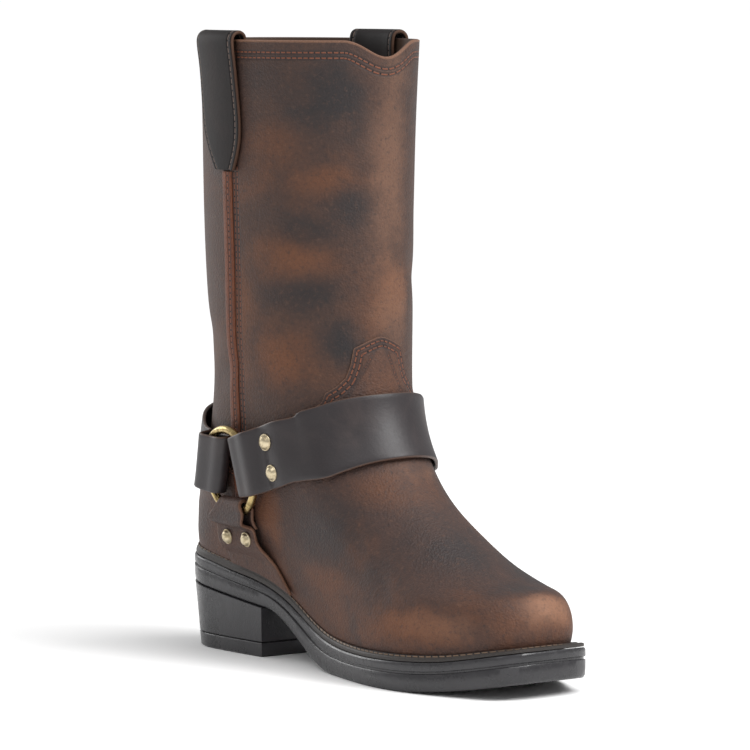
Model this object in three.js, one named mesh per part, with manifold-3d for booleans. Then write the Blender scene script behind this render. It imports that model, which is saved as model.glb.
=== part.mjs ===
// A western harness boot for the right foot, in millimetres: +Z is up, +X points to the toe and
// +Y to the inner side of the foot. The origin is under the middle of the heel, on the floor.
// Lengths along the boot are first counted from the back of the sole, then moved to that origin.
import * as THREE from 'three';
import { mergeVertices } from 'three/addons/utils/BufferGeometryUtils.js';
import Module from 'manifold-3d';

const wasm = await Module();
wasm.setup();

// Sizes of the sole and heel
const soleLength = 295;
const ballWidth = 97;
const soleThickness = 15.2;
const toeSpring = 9.2;
const heelLength = 83;
const heelBackHeight = 38.3;
const heelBreastHeight = 28.5;
const heelTaper = 4;
const heelSideTaper = 1.5;
const liftThickness = 8;
const insoleThickness = 3;
const weltInset = 0.8;
const weltEdge = 1.6;

// Sizes of the upper
const instepHeight = 100;
const collarHeight = 342.5;
const collarDip = 9;
const collarDipReach = 25;
const shaftCentre = 83.5;
const shaftDepth = 144;
const shaftWidth = 104;
const wall = 2.2;
const overlay = 1.1;
const tongueShift = -3;
const innerSeamShift = 14;
const seamStripWidth = 9;
const pullStrapWidth = 41;
const pullStrapDrop = 71;
const pullLoopRise = 3.3;

// Sizes of the harness
const ringRadius = 23.75;
const ringWire = 4.5;
const ringX = 73.5;
const ringHeight = 104.2;
const strapThickness = 2.2;
const instepStrapWidth = 36;
const heelStrapWidth = 34;
const rivetDiameter = 9.5;
const rivetDome = 2.8;

// Clearances between neighbouring pieces
const gap = 0.3;
const seat = 0.45;
const strapGap = 0.55;
const ringPlay = 0.3;
const rivetGap = 0.3;
const endEase = 0.9;
const skinGap = 0.95;

// Numbers of facets, the distance within which points are one, and how far cutters reach
const pointsPerSide = 25;
const HEEL_POINTS = 14;
const RING_POINTS = 22;
const RING_SEGMENTS = 6;
const RIVET_POINTS = 10;
const STRAP_COLUMNS = 5;
const WELD = 1e-4;
const SIDE_REACH = 90;
const END_REACH = 20;

const OUTER = -1;
const INNER = 1;

const mix = (a, b, share) => a + (b - a) * share;
const clamp = (value, low = 0, high = 1) => Math.min(Math.max(value, low), high);
const smooth = (value) => clamp(value) ** 2 * (3 - 2 * clamp(value));

// A quarter of a superellipse: 0 at the end of a form, 1 where its rounding is over.
const rounding = (share, power) => (1 - (1 - clamp(share)) ** power) ** (1 / power);

// A natural cubic spline through (xs, ys), straight beyond its two ends.
function spline(xs, ys) {
  const last = xs.length - 1;
  const bend = new Array(last + 1).fill(0);
  const carry = new Array(last + 1).fill(0);
  for (let i = 1; i < last; i++) {
    const before = xs[i] - xs[i - 1];
    const after = xs[i + 1] - xs[i];
    const slopes = (ys[i + 1] - ys[i]) / after - (ys[i] - ys[i - 1]) / before;
    const pivot = 2 * (before + after) - before * carry[i - 1];
    carry[i] = after / pivot;
    bend[i] = (6 * slopes - before * bend[i - 1]) / pivot;
  }
  for (let i = last - 1; i > 0; i--) {
    bend[i] -= carry[i] * bend[i + 1];
  }
  const chord = (i) => (ys[i + 1] - ys[i]) / (xs[i + 1] - xs[i]);
  const startSlope = chord(0) - ((xs[1] - xs[0]) * bend[1]) / 6;
  const endSlope = chord(last - 1) + ((xs[last] - xs[last - 1]) * bend[last - 1]) / 6;
  return (x) => {
    if (x <= xs[0]) return ys[0] + (x - xs[0]) * startSlope;
    if (x >= xs[last]) return ys[last] + (x - xs[last]) * endSlope;
    let i = 0;
    while (x > xs[i + 1]) i++;
    const span = xs[i + 1] - xs[i];
    const left = (xs[i + 1] - x) / span;
    const right = 1 - left;
    const curve = (left ** 3 - left) * bend[i] + (right ** 3 - right) * bend[i + 1];
    return left * ys[i] + right * ys[i + 1] + (curve * span ** 2) / 6;
  };
}

// A table's rows as objects, from the names of its columns.
const table = (columns, rows) =>
  rows.map((row) => Object.fromEntries(columns.map((name, i) => [name, row[i]])));

// The sole seen from above: half widths as shares of the ball's width, at shares of the length.
const SOLE_PLAN = [
  { along: 0.1, outer: 0.345, inner: 0.32 },
  { along: 0.2, outer: 0.345, inner: 0.316 },
  { along: 0.3, outer: 0.331, inner: 0.282 },
  { along: 0.42, outer: 0.345, inner: 0.262 },
  { along: 0.52, outer: 0.402, inner: 0.3 },
  { along: 0.62, outer: 0.47, inner: 0.395 },
  { along: 0.7, outer: 0.503, inner: 0.485 },
  { along: 0.78, outer: 0.489, inner: 0.52 },
  { along: 0.86, outer: 0.422, inner: 0.478 },
  { along: 0.93, outer: 0.336, inner: 0.39 },
  { along: 1, outer: 0.258, inner: 0.322 },
];
const SOLE_NOSE = { length: 0.047, power: 3 };
const SOLE_HEEL = { length: 0.11, power: 2.2 };

const planX = SOLE_PLAN.map((row) => row.along * soleLength);
const planHalf = {
  [OUTER]: spline(planX, SOLE_PLAN.map((row) => row.outer * ballWidth)),
  [INNER]: spline(planX, SOLE_PLAN.map((row) => row.inner * ballWidth)),
};

// Half width of the sole's plan at x, before its two ends are rounded.
function soleHalf(side, x) {
  return planHalf[side](clamp(x, planX[0], soleLength));
}

// Half width of the sole at x, all round drawn in by an inset.
function soleEdge(side, x, inset = 0, sideInset = inset) {
  const nose = rounding((soleLength - inset - x) / (SOLE_NOSE.length * soleLength), SOLE_NOSE.power);
  const heel = rounding((x - inset) / (SOLE_HEEL.length * soleLength), SOLE_HEEL.power);
  return (soleHalf(side, x) - sideInset) * nose * heel;
}

// The sole's top seen from the side: rise is the share from the ball's height up to the heel
// seat's, spring the share of the toe spring.
const SOLE_TOP = [
  { along: 0, rise: 1, spring: 0 },
  { along: 0.1, rise: 0.92, spring: 0 },
  { along: 0.18, rise: 0.82, spring: 0 },
  { along: 0.265, rise: 0.715, spring: 0 },
  { along: 0.315, rise: 0.615, spring: 0 },
  { along: 0.366, rise: 0.47, spring: 0 },
  { along: 0.423, rise: 0.27, spring: 0 },
  { along: 0.489, rise: 0.095, spring: 0 },
  { along: 0.577, rise: 0.01, spring: 0 },
  { along: 0.65, rise: 0, spring: 0 },
  { along: 0.72, rise: 0, spring: 0.04 },
  { along: 0.8, rise: 0, spring: 0.14 },
  { along: 0.87, rise: 0, spring: 0.34 },
  { along: 0.937, rise: 0, spring: 0.72 },
  { along: 1, rise: 0, spring: 1.12 },
];
const SPRING_START = 0.76;
const SPRING_POWER = 1.6;
const WAIST_END = 0.54;
const WAIST_POWER = 1.2;

const topX = SOLE_TOP.map((row) => row.along * soleLength);
const soleTop = spline(
  topX,
  SOLE_TOP.map((row) => soleThickness + heelBackHeight * row.rise + toeSpring * row.spring),
);

// Underside of the sole at x: the heel seat, the waist, the flat tread and the toe spring.
function soleUnderside(x) {
  if (x <= heelLength) return mix(heelBackHeight, heelBreastHeight, clamp(x / heelLength));
  const waistEnd = WAIST_END * soleLength;
  const waist = clamp((waistEnd - x) / (waistEnd - heelLength));
  const springStart = SPRING_START * soleLength;
  const spring = clamp((x - springStart) / (soleLength - springStart));
  return heelBreastHeight * smooth(waist ** WAIST_POWER) + toeSpring * spring ** SPRING_POWER;
}

// A ring seen from above as a list of points: out along the outer side from back to front,
// home along the inner side. Points gather at both ends.
function ring(back, front, halfWidth, height, count = pointsPerSide) {
  const xs = Array.from({ length: count }, (_, i) => mix(back, front, endShare(i / (count - 1))));
  const outer = xs.map((x) => new THREE.Vector3(x, -halfWidth(OUTER, x), height(x)));
  const inner = xs.map((x) => new THREE.Vector3(x, halfWidth(INNER, x), height(x)));
  const closedNose = halfWidth(OUTER, front) < 1e-6;
  return [...outer, ...inner.slice(1, closedNose ? -1 : undefined).reverse()];
}

const endShare = (share) => (1 - Math.cos(Math.PI * share)) / 2;

// Sections of the foot. Level 0 is the sole's edge. backRise and frontRise are heights over the
// sole at the two ends, as shares of the instep height; follow is how far the ring keeps the
// sole's own line. back and front are shares of the way from the shaft's line to the sole's ends.
// heel, waist, ball and toe are half widths as shares of the sole's, which the shaft column
// turns into shares of the shaft's. nose and rear are rounding lengths in shares of the sole's.
const FOOT_ROWS = table(
  ['backRise', 'frontRise', 'follow', 'back', 'front', 'shaft', 'heel', 'waist',
   'ball', 'toe', 'nose', 'nosePower', 'rear', 'rearPower'],
  [
    [0, 0, 1, 0.62, 0.93, 0, 0.87, 0.85, 0.84, 0.8, 0.082, 3.3, 0.115, 2.2],
    [0.117, 0.085, 1, 0.74, 0.952, 0, 0.91, 0.9, 0.9, 0.84, 0.082, 3.2, 0.12, 2.2],
    [0.207, 0.175, 1, 0.77, 0.952, 0, 0.93, 0.96, 0.91, 0.84, 0.088, 3.1, 0.125, 2.2],
    [0.287, 0.256, 1, 0.76, 0.928, 0, 0.95, 1.01, 0.89, 0.8, 0.098, 3, 0.13, 2.2],
    [0.348, 0.305, 1, 0.71, 0.878, 0, 0.97, 1.05, 0.87, 0.77, 0.118, 2.8, 0.135, 2.15],
    [0.405, 0.34, 0.98, 0.63, 0.798, 0, 1, 1.08, 0.84, 0.77, 0.145, 2.55, 0.14, 2.15],
    [0.47, 0.4, 0.95, 0.5, 0.69, 0.1, 0.95, 1.05, 0.8, 0.78, 0.176, 2.35, 0.145, 2.1],
    [0.54, 0.485, 0.9, 0.34, 0.58, 0.2, 0.93, 1.01, 0.78, 0.79, 0.203, 2.2, 0.152, 2.1],
    [0.62, 0.595, 0.8, 0.14, 0.465, 0.32, 0.91, 0.98, 0.76, 0.78, 0.224, 2.1, 0.16, 2.1],
    [0.71, 0.7, 0.68, -0.08, 0.352, 0.45, 0.9, 0.95, 0.75, 0.75, 0.237, 2.05, 0.166, 2.05],
    [0.82, 0.82, 0.55, -0.3, 0.245, 0.58, 0.88, 0.93, 0.75, 0.74, 0.244, 2, 0.176, 2.05],
    [0.93, 0.96, 0.4, -0.5, 0.15, 0.72, 0.87, 0.9, 0.76, 0.75, 0.247, 2, 0.19, 2.05],
    [1.06, 1.11, 0.25, -0.65, 0.068, 0.86, 0.86, 0.89, 0.8, 0.76, 0.244, 2, 0.203, 2.05],
    [1.21, 1.3, 0.12, -0.68, 0.012, 0.96, 0.87, 0.89, 0.85, 0.82, 0.237, 2.05, 0.214, 2.05],
  ],
);

// Sections of the shaft, with end heights as shares of the collar's height.
const SHAFT_ROWS = table(
  ['backHeight', 'frontHeight', 'back', 'front', 'heel', 'waist', 'ball', 'toe',
   'nose', 'nosePower', 'rear', 'rearPower'],
  [
    [0.56, 0.503, -0.58, -0.008, 0.915, 0.91, 0.9, 0.88, 0.23, 2.05, 0.22, 2.05],
    [0.645, 0.602, -0.36, -0.018, 0.925, 0.93, 0.93, 0.93, 0.228, 2.1, 0.224, 2.1],
    [0.756, 0.727, -0.22, -0.018, 0.94, 0.95, 0.96, 0.95, 0.232, 2.1, 0.228, 2.1],
    [0.878, 0.863, -0.12, -0.01, 0.95, 0.97, 0.98, 0.97, 0.237, 2.1, 0.234, 2.1],
    [1, 1, 0, 0.008, 0.97, 1, 1, 0.99, 0.244, 2.1, 0.24, 2.1],
  ],
);
const WIDTH_STATIONS = [0.126, 0.398, 0.689, 0.9].map((share) => share * soleLength);

const DIP_LEVELS = 1.2;

const shaftBack = shaftCentre - shaftDepth / 2;
const shaftFront = shaftCentre + shaftDepth / 2;

// A row's sizes in millimetres.
function measured(row) {
  const back = mix(shaftBack, 0, row.back);
  const front = mix(shaftFront, soleLength, row.front);
  const onFoot = row.backRise !== undefined;
  return {
    ...row,
    back,
    front,
    follow: row.follow ?? 0,
    shaft: row.shaft ?? 1,
    backZ: onFoot ? soleTop(back) + instepHeight * row.backRise : collarHeight * row.backHeight,
    frontZ: onFoot ? soleTop(front) + instepHeight * row.frontRise : collarHeight * row.frontHeight,
    nose: row.nose * soleLength,
    rear: row.rear * soleLength,
  };
}

const upperRows = [...FOOT_ROWS, ...SHAFT_ROWS].map(measured);
const topLevel = upperRows.length - 1;
const rowNumbers = upperRows.map((_, i) => i);
const COLUMNS = ['back', 'front', 'backZ', 'frontZ', 'follow', 'shaft', 'heel', 'waist', 'ball', 'toe',
  'nose', 'nosePower', 'rear', 'rearPower'];
const rowSplines = COLUMNS.map((name) => [name, spline(rowNumbers, upperRows.map((row) => row[name]))]);

function sectionAt(level) {
  const section = Object.fromEntries(rowSplines.map(([name, curve]) => [name, curve(level)]));
  section.share = spline(WIDTH_STATIONS, [section.heel, section.waist, section.ball, section.toe]);
  return section;
}

// A point of the upper's outside. turn goes round from the back (0) along the outer side to the
// front (1) and home along the inner side (2).
function upperPoint(level, turn) {
  const round = ((turn % 2) + 2) % 2;
  const side = round <= 1 ? OUTER : INNER;
  const section = sectionAt(level);
  const x = mix(section.back, section.front, endShare(round <= 1 ? round : 2 - round));
  const along = (x - section.back) / (section.front - section.back);
  const base = mix(soleHalf(side, x), shaftWidth / 2, section.shaft);
  const nose = rounding((section.front - x) / section.nose, section.nosePower);
  const rear = rounding((x - section.back) / section.rear, section.rearPower);
  const y = side * base * section.share(x) * nose * rear;
  const chord = mix(soleTop(section.back), soleTop(section.front), along);
  const line = section.follow * (soleTop(x) - chord) + mix(section.backZ, section.frontZ, along);
  const sideways = clamp(Math.abs(y) / collarDipReach);
  const dip = x > shaftCentre ? collarDip * Math.cos((Math.PI / 2) * sideways) ** 2 : 0;
  const nearCollar = smooth((level - topLevel + DIP_LEVELS) / DIP_LEVELS);
  return new THREE.Vector3(x, y, line - dip * nearCollar);
}

// The outward direction of the upper at a place.
function upperNormal(level, turn) {
  const step = 0.02;
  const low = Math.max(level - step, 0);
  const high = Math.min(level + step, topLevel);
  const along = upperPoint(level, turn + step).sub(upperPoint(level, turn - step));
  const up = upperPoint(high, turn).sub(upperPoint(low, turn));
  const normal = along.cross(up);
  if (level === 0) normal.z = 0;
  return normal.normalize();
}

// A place on a form parallel to the upper. Its lowest edge stands on the sole.
function skinPoint(level, turn, offset) {
  const point = upperPoint(level, turn).addScaledVector(upperNormal(level, turn), offset);
  if (level === 0) point.z = soleTop(point.x) + seat;
  return point;
}

const WELT_LEVEL = 0.45;
const skinLevels = [0, WELT_LEVEL, ...rowNumbers.slice(1)];
const skinTurns = Array.from({ length: 2 * pointsPerSide - 2 }, (_, i) => i / (pointsPerSide - 1));

function skinRing(level, offset) {
  return skinTurns.map((turn) => skinPoint(level, turn, offset));
}

// A closed geometry from its points and triangles, with equal points merged and its faces
// turned outwards.
function closedGeometry(points, faces) {
  const volume = faces.reduce(
    (sum, [a, b, c]) => sum + points[a].dot(points[b].clone().cross(points[c])),
    0,
  );
  const turned = volume > 0 ? faces : faces.map(([a, b, c]) => [a, c, b]);
  const loose = new THREE.BufferGeometry();
  const flat = turned.flatMap((face) => face.flatMap((index) => points[index].toArray()));
  loose.setAttribute('position', new THREE.Float32BufferAttribute(flat, 3));
  const merged = mergeVertices(loose, WELD);
  const kept = [];
  for (let i = 0; i < merged.index.count; i += 3) {
    const [a, b, c] = merged.index.array.slice(i, i + 3);
    if (a !== b && b !== c && c !== a) kept.push(a, b, c);
  }
  merged.setIndex(kept);
  return merged;
}

// Rings joined one above the next. A looped stack closes on its first ring, and any other stack
// is closed at both ends by strips laid across from the outer side to the inner.
function stack(rings, looped = false) {
  const size = rings[0].length;
  const points = rings.flat();
  const faces = [];
  const levels = looped ? rings.length : rings.length - 1;
  for (let i = 0; i < levels; i++) {
    const low = i * size;
    const high = ((i + 1) % rings.length) * size;
    for (let j = 0; j < size; j++) {
      const next = (j + 1) % size;
      faces.push([low + j, low + next, high + next], [low + j, high + next, high + j]);
    }
  }
  if (!looped) {
    const top = (rings.length - 1) * size;
    for (let k = 0; k < size / 2; k++) {
      const [a, b, c, d] = [k, k + 1, size - k - 1, (size - k) % size];
      faces.push([top + a, top + b, top + c], [top + a, top + c, top + d], [a, c, b], [a, d, c]);
    }
  }
  return closedGeometry(points, faces);
}

// The wall between two forms parallel to the upper.
function skinShell(outside, inside) {
  const outerRings = skinLevels.map((level) => skinRing(level, outside));
  const innerRings = skinLevels.map((level) => skinRing(level, inside));
  return stack([...outerRings, ...innerRings.reverse()], true);
}

// A grid of points made as thick as a strap, half to each side.
function strapFromGrid(grid) {
  const rows = grid.length;
  const columns = grid[0].length;
  const at = (i, j) => grid[clamp(i, 0, rows - 1)][clamp(j, 0, columns - 1)];
  const normalAt = (i, j) => {
    const along = at(i + 1, j).clone().sub(at(i - 1, j));
    const across = at(i, j + 1).clone().sub(at(i, j - 1));
    return along.cross(across).normalize();
  };
  const face = (sign) =>
    grid.flatMap((row, i) =>
      row.map((point, j) =>
        point.clone().addScaledVector(normalAt(i, j), (sign * strapThickness) / 2),
      ),
    );
  const points = [...face(1), ...face(-1)];
  const under = rows * columns;
  const faces = [];
  const quad = (a, b, c, d) => faces.push([a, b, c], [a, c, d]);
  for (let i = 0; i + 1 < rows; i++) {
    for (let j = 0; j + 1 < columns; j++) {
      const a = i * columns + j;
      quad(a, a + 1, a + columns + 1, a + columns);
      quad(under + a, under + a + columns, under + a + columns + 1, under + a + 1);
    }
    const left = i * columns;
    const right = left + columns - 1;
    quad(left, left + columns, under + left + columns, under + left);
    quad(right, under + right, under + right + columns, right + columns);
  }
  for (let j = 0; j + 1 < columns; j++) {
    const end = (rows - 1) * columns + j;
    quad(j, under + j, under + j + 1, j + 1);
    quad(end, end + 1, under + end + 1, under + end);
  }
  return closedGeometry(points, faces);
}

function toSolid(geometry) {
  const bare = new THREE.BufferGeometry();
  bare.setAttribute('position', geometry.getAttribute('position'));
  bare.setIndex(geometry.index);
  const merged = mergeVertices(bare, WELD);
  return new wasm.Manifold(
    new wasm.Mesh({
      numProp: 3,
      vertProperties: merged.attributes.position.array,
      triVerts: new Uint32Array(merged.index.array),
    }),
  );
}

function fromSolid(solid) {
  const mesh = solid.getMesh();
  const geometry = new THREE.BufferGeometry();
  geometry.setAttribute('position', new THREE.BufferAttribute(mesh.vertProperties, 3));
  geometry.setIndex(new THREE.BufferAttribute(mesh.triVerts, 1));
  return geometry;
}

function extruded(outline, depth) {
  const shape = new THREE.Shape(outline.map(([a, b]) => new THREE.Vector2(a, b)));
  return new THREE.ExtrudeGeometry(shape, { depth, bevelEnabled: false, curveSegments: 1 });
}

// A side view outline of [x, z] points, made into a block from one y to another.
function sideBlock(outline, fromY, toY) {
  return toSolid(extruded(outline, toY - fromY).rotateX(Math.PI / 2).translate(0, toY, 0));
}

// A front view outline of [y, z] points, made into a block from one x to another.
function frontBlock(outline, fromX, toX) {
  const block = extruded(outline, toX - fromX).rotateX(Math.PI / 2).rotateZ(Math.PI / 2);
  return toSolid(block.translate(fromX, 0, 0));
}

// The turn at which a level of the upper reaches x on one side.
function turnAtX(side, level, x) {
  const section = sectionAt(level);
  const share = clamp((x - section.back) / (section.front - section.back));
  const turn = Math.acos(1 - 2 * share) / Math.PI;
  return side === OUTER ? turn : 2 - turn;
}

// The level at which the upper reaches a height, where turnAt gives the turn for a level and
// heightAt the height wanted at x.
function levelAtHeight(turnAt, heightAt) {
  let low = 0;
  let high = topLevel;
  for (let i = 0; i < 24; i++) {
    const middle = (low + high) / 2;
    const point = upperPoint(middle, turnAt(middle));
    if (point.z < heightAt(point.x)) low = middle;
    else high = middle;
  }
  return low;
}

// Place and outward direction on the upper's side at x and z.
function sidePlace(side, x, z) {
  const turnAt = (level) => turnAtX(side, level, x);
  const level = levelAtHeight(turnAt, () => z);
  const turn = turnAt(level);
  return { point: upperPoint(level, turn), normal: upperNormal(level, turn) };
}

function lifted(place, offset) {
  return place.point.clone().addScaledVector(place.normal, offset);
}

const MATERIALS = {
  leather: { color: 0x4a342b, roughness: 0.62, metalness: 0 },
  vampLeather: { color: 0x553a2e, roughness: 0.6, metalness: 0 },
  seamLeather: { color: 0x6b4129, roughness: 0.65, metalness: 0 },
  strapLeather: { color: 0x39322f, roughness: 0.5, metalness: 0 },
  sole: { color: 0x1c1b1d, roughness: 0.42, metalness: 0 },
  welt: { color: 0x2a2422, roughness: 0.55, metalness: 0 },
  insole: { color: 0x8a6b4c, roughness: 0.85, metalness: 0 },
  brass: { color: 0xa58b55, roughness: 0.35, metalness: 1 },
};

const group = new THREE.Group();
group.position.x = -(heelTaper + heelLength) / 2;

function addPiece(name, geometry, material) {
  const mesh = new THREE.Mesh(geometry, new THREE.MeshStandardMaterial(MATERIALS[material]));
  mesh.name = name;
  group.add(mesh);
}

// The outsole's side: each row a share of the height and how far it is drawn in. The two
// drawn in rows are the groove under its top layer.
const SOLE_SIDE = table(
  ['up', 'inset'],
  [
    [0, 1.4],
    [0.1, 0.3],
    [0.58, 0],
    [0.62, 0.9],
    [0.68, 0.9],
    [0.72, 0],
    [0.95, 0.1],
    [1, 0.8],
  ],
);

function outsole() {
  const rings = SOLE_SIDE.map(({ up, inset }) =>
    ring(
      inset,
      soleLength - inset,
      (side, x) => soleEdge(side, x, inset),
      (x) => mix(soleUnderside(x), soleTop(x), up),
    ),
  );
  return stack(rings);
}

// A slice of the heel, which narrows from its seat under the sole down to the tread.
function heelSlice(heightAt, height) {
  const down = 1 - clamp(height / heelBackHeight);
  const inset = gap + heelTaper * down;
  const sideInset = gap + heelSideTaper * down;
  const half = (side, x) => soleEdge(side, x, inset, sideInset);
  return ring(inset, heelLength - heelSideTaper * down, half, heightAt, HEEL_POINTS);
}

function heelBlock() {
  const base = liftThickness + gap;
  return stack([
    heelSlice(() => base, base),
    heelSlice((x) => soleUnderside(x) - seat, heelBackHeight),
  ]);
}

function heelLift() {
  return stack([heelSlice(() => 0, 0), heelSlice(() => liftThickness, liftThickness)]);
}

// The welt stands on the sole's edge and leans in against the overlays.
function welt() {
  const fit = skinGap + overlay + gap;
  const soleRing = (lift) =>
    ring(
      weltInset,
      soleLength - weltInset,
      (side, x) => soleEdge(side, x, weltInset),
      (x) => soleTop(x) + lift,
    );
  const rings = [
    soleRing(seat),
    soleRing(seat + weltEdge),
    skinRing(WELT_LEVEL, fit),
    skinRing(0, fit),
  ];
  return stack(rings, true);
}

function insole() {
  const plan = skinRing(0, -wall - gap);
  const raised = plan.map((point) => point.clone().setZ(point.z + insoleThickness));
  return stack([plan, raised]);
}

// The side seam's x at heights up the boot. On the inner side it moves forward up the shaft.
const SEAM = table(
  ['z', 'x'],
  [
    [0, 69],
    [92, 69],
    [104, 69.6],
    [130, 72.9],
    [160, 75.6],
    [199, 77],
    [270, 76.2],
    [345, 75.5],
  ],
);
const INNER_SEAM = { from: 150, to: 260 };
const seamCurve = spline(SEAM.map((row) => row.z), SEAM.map((row) => row.x));
const seamTop = collarHeight - pullStrapDrop - 1;
const SEAM_STEPS = 9;
const seamHeights = [0];
for (let i = 0; i <= SEAM_STEPS; i++) seamHeights.push(mix(SEAM[1].z, seamTop, i / SEAM_STEPS));

function seamX(side, z) {
  const forward = smooth((z - INNER_SEAM.from) / (INNER_SEAM.to - INNER_SEAM.from));
  return seamCurve(z) + (side === INNER ? innerSeamShift * forward : 0);
}

// The line of the seam at some heights, moved along the boot.
function seamLine(side, shift, heights) {
  return heights.map((z) => [seamX(side, z) + shift, z]);
}

const overlayShell = toSolid(skinShell(skinGap + overlay, skinGap));
const sidesOf = { [OUTER]: [-SIDE_REACH, 0], [INNER]: [0, SIDE_REACH] };

function seamStrip(side) {
  const half = seamStripWidth / 2;
  const ahead = seamLine(side, half, seamHeights);
  const outline = [...seamLine(side, -half, seamHeights), ...ahead.reverse()];
  return fromSolid(overlayShell.intersect(sideBlock(outline, ...sidesOf[side])));
}

// The vamp's upper edge on the sides, hidden under the instep strap, and the half outline of
// the tongue that stands above it.
const VAMP_EDGE = table(
  ['x', 'z'],
  [
    [77, 112],
    [98, 121],
    [125, 135],
    [140, 147],
  ],
);
const TONGUE = table(
  ['half', 'z'],
  [
    [0, 182],
    [7, 179.9],
    [14.9, 176],
    [16.4, 167.5],
    [18.8, 160],
    [23, 155],
    [27, 151.5],
    [28.5, 146],
  ],
);
const seamGap = seamStripWidth / 2 + gap;
const LOW_SEAM = [0, 92, 104];

function vamp() {
  const lowSeam = seamLine(OUTER, seamGap, LOW_SEAM);
  const sideEdge = VAMP_EDGE.map((row) => [row.x, row.z]);
  const top = VAMP_EDGE[VAMP_EDGE.length - 1].z;
  const beyond = soleLength + END_REACH;
  const sides = [...lowSeam, ...sideEdge, [beyond, top], [beyond, 0]];
  const right = TONGUE.map((row) => [tongueShift + row.half, row.z]);
  const left = TONGUE.slice(1).map((row) => [tongueShift - row.half, row.z]);
  const tongue = frontBlock([...left.reverse(), ...right], shaftCentre + END_REACH, soleLength);
  const cutter = sideBlock(sides, -SIDE_REACH, SIDE_REACH).add(tongue);
  return fromSolid(overlayShell.intersect(cutter));
}

// The counter wraps the heel behind the seams, its top edge rising under the heel strap.
const COUNTER_EDGE = table(
  ['x', 'z'],
  [
    [-END_REACH, 0],
    [-END_REACH, 123],
    [25, 121],
    [45, 112],
  ],
);

function counter() {
  const edge = COUNTER_EDGE.map((row) => [row.x, row.z]);
  const outline = [...edge, ...seamLine(OUTER, -seamGap, LOW_SEAM).reverse()];
  return fromSolid(overlayShell.intersect(sideBlock(outline, -SIDE_REACH, SIDE_REACH)));
}

// The plane of a ring on one side: it leans with the upper, and at its nearest the wire's
// centre stands ringLift off it.
const strapLift = skinGap + overlay + strapGap + strapThickness / 2;
const foldRadius = ringWire / 2 + ringPlay + strapThickness / 2;
const ringLift = strapLift + foldRadius;
const ringPlanes = { [OUTER]: ringPlane(OUTER), [INNER]: ringPlane(INNER) };

function ringPlane(side) {
  const at = (dx, dz) => sidePlace(side, ringX + dx, ringHeight + dz).point;
  const along = at(ringRadius, 0).sub(at(-ringRadius, 0));
  const up = at(0, ringRadius).sub(at(0, -ringRadius));
  const normal = along.cross(up).normalize();
  normal.multiplyScalar(Math.sign(normal.y) * side);
  const reach = Array.from({ length: 16 }, (_, i) => {
    const angle = (i * Math.PI) / 8;
    return at(ringRadius * Math.cos(angle), ringRadius * Math.sin(angle)).dot(normal);
  });
  return { normal, distance: Math.max(...reach) + ringLift };
}

// How far a place of the upper's side is, along the upper's normal, from its ring's plane or
// from a plane at some rise over it.
function planeLift(side, place, rise) {
  const { normal, distance } = ringPlanes[side];
  return (distance + rise - place.point.dot(normal)) / place.normal.dot(normal);
}

function ringMesh(side) {
  const { normal, distance } = ringPlanes[side];
  const torus = new THREE.TorusGeometry(ringRadius, ringWire / 2, RING_SEGMENTS, RING_POINTS);
  const centre = new THREE.Vector3(ringX, 0, ringHeight);
  centre.y = (distance - centre.x * normal.x - centre.z * normal.z) / normal.y;
  const turn = new THREE.Quaternion().setFromUnitVectors(new THREE.Vector3(0, 0, 1), normal);
  torus.applyQuaternion(turn).translate(centre.x, centre.y, centre.z);
  return fromSolid(toSolid(torus));
}

// How far out from the ring's plane and away from the fold's outer face a strap's middle runs.
const foldReach = foldRadius + strapThickness / 2;
const foldWay = [0, 45, 90, 135, 180].map((degrees) => {
  const angle = (degrees * Math.PI) / 180;
  return { run: foldReach - foldRadius * Math.sin(angle), rise: -foldRadius * Math.cos(angle) };
});

// A strap's end: its tail, the fold round the ring's wire and the main strap over the tail. lying
// is 0 on the ring's plane and 1 on the upper, where the strap's middle keeps the height rest.
const doubleLift = strapLift + strapThickness + gap;
function strapEnd(tailRuns, mainRuns) {
  const tail = tailRuns.map(([run, lying]) => ({ run, rise: -foldRadius, lying, rest: strapLift }));
  const fold = foldWay.map(({ run, rise }) => ({ run, rise, lying: 0, rest: 0 }));
  const main = mainRuns.map(([run, lying, rest]) => ({ run, rise: foldRadius, lying, rest }));
  return [...tail, ...fold, ...main];
}
const INSTEP_END = strapEnd(
  [[37, 1], [26, 1], [18.5, 0]],
  [
    [10, 0, 0],
    [18.5, 0, 0],
    [25, 1, doubleLift],
    [32, 1, doubleLift],
    [40, 1, doubleLift],
    [48, 1, strapLift],
  ],
);
const HEEL_END = strapEnd(
  [[20.5, 0]],
  [
    [10, 0, 0],
    [20.5, 0, 0],
    [27, 1, strapLift],
    [34, 1, strapLift],
  ],
);
const SOLE_END = strapEnd(
  [[17, 1], [12.3, 0]],
  [
    [8, 0, 0],
    [12.3, 0, 0],
    [16.5, 1, doubleLift],
    [21, 1, doubleLift],
    [28, 1, doubleLift],
  ],
);

function ringStrapPoint(side, x, z, { rise, lying, rest }) {
  const place = sidePlace(side, x, z);
  return lifted(place, mix(planeLift(side, place, rise), rest, lying));
}

const acrossShares = (columns) =>
  Array.from({ length: columns }, (_, i) => 1 - (2 * i) / (columns - 1));

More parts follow.
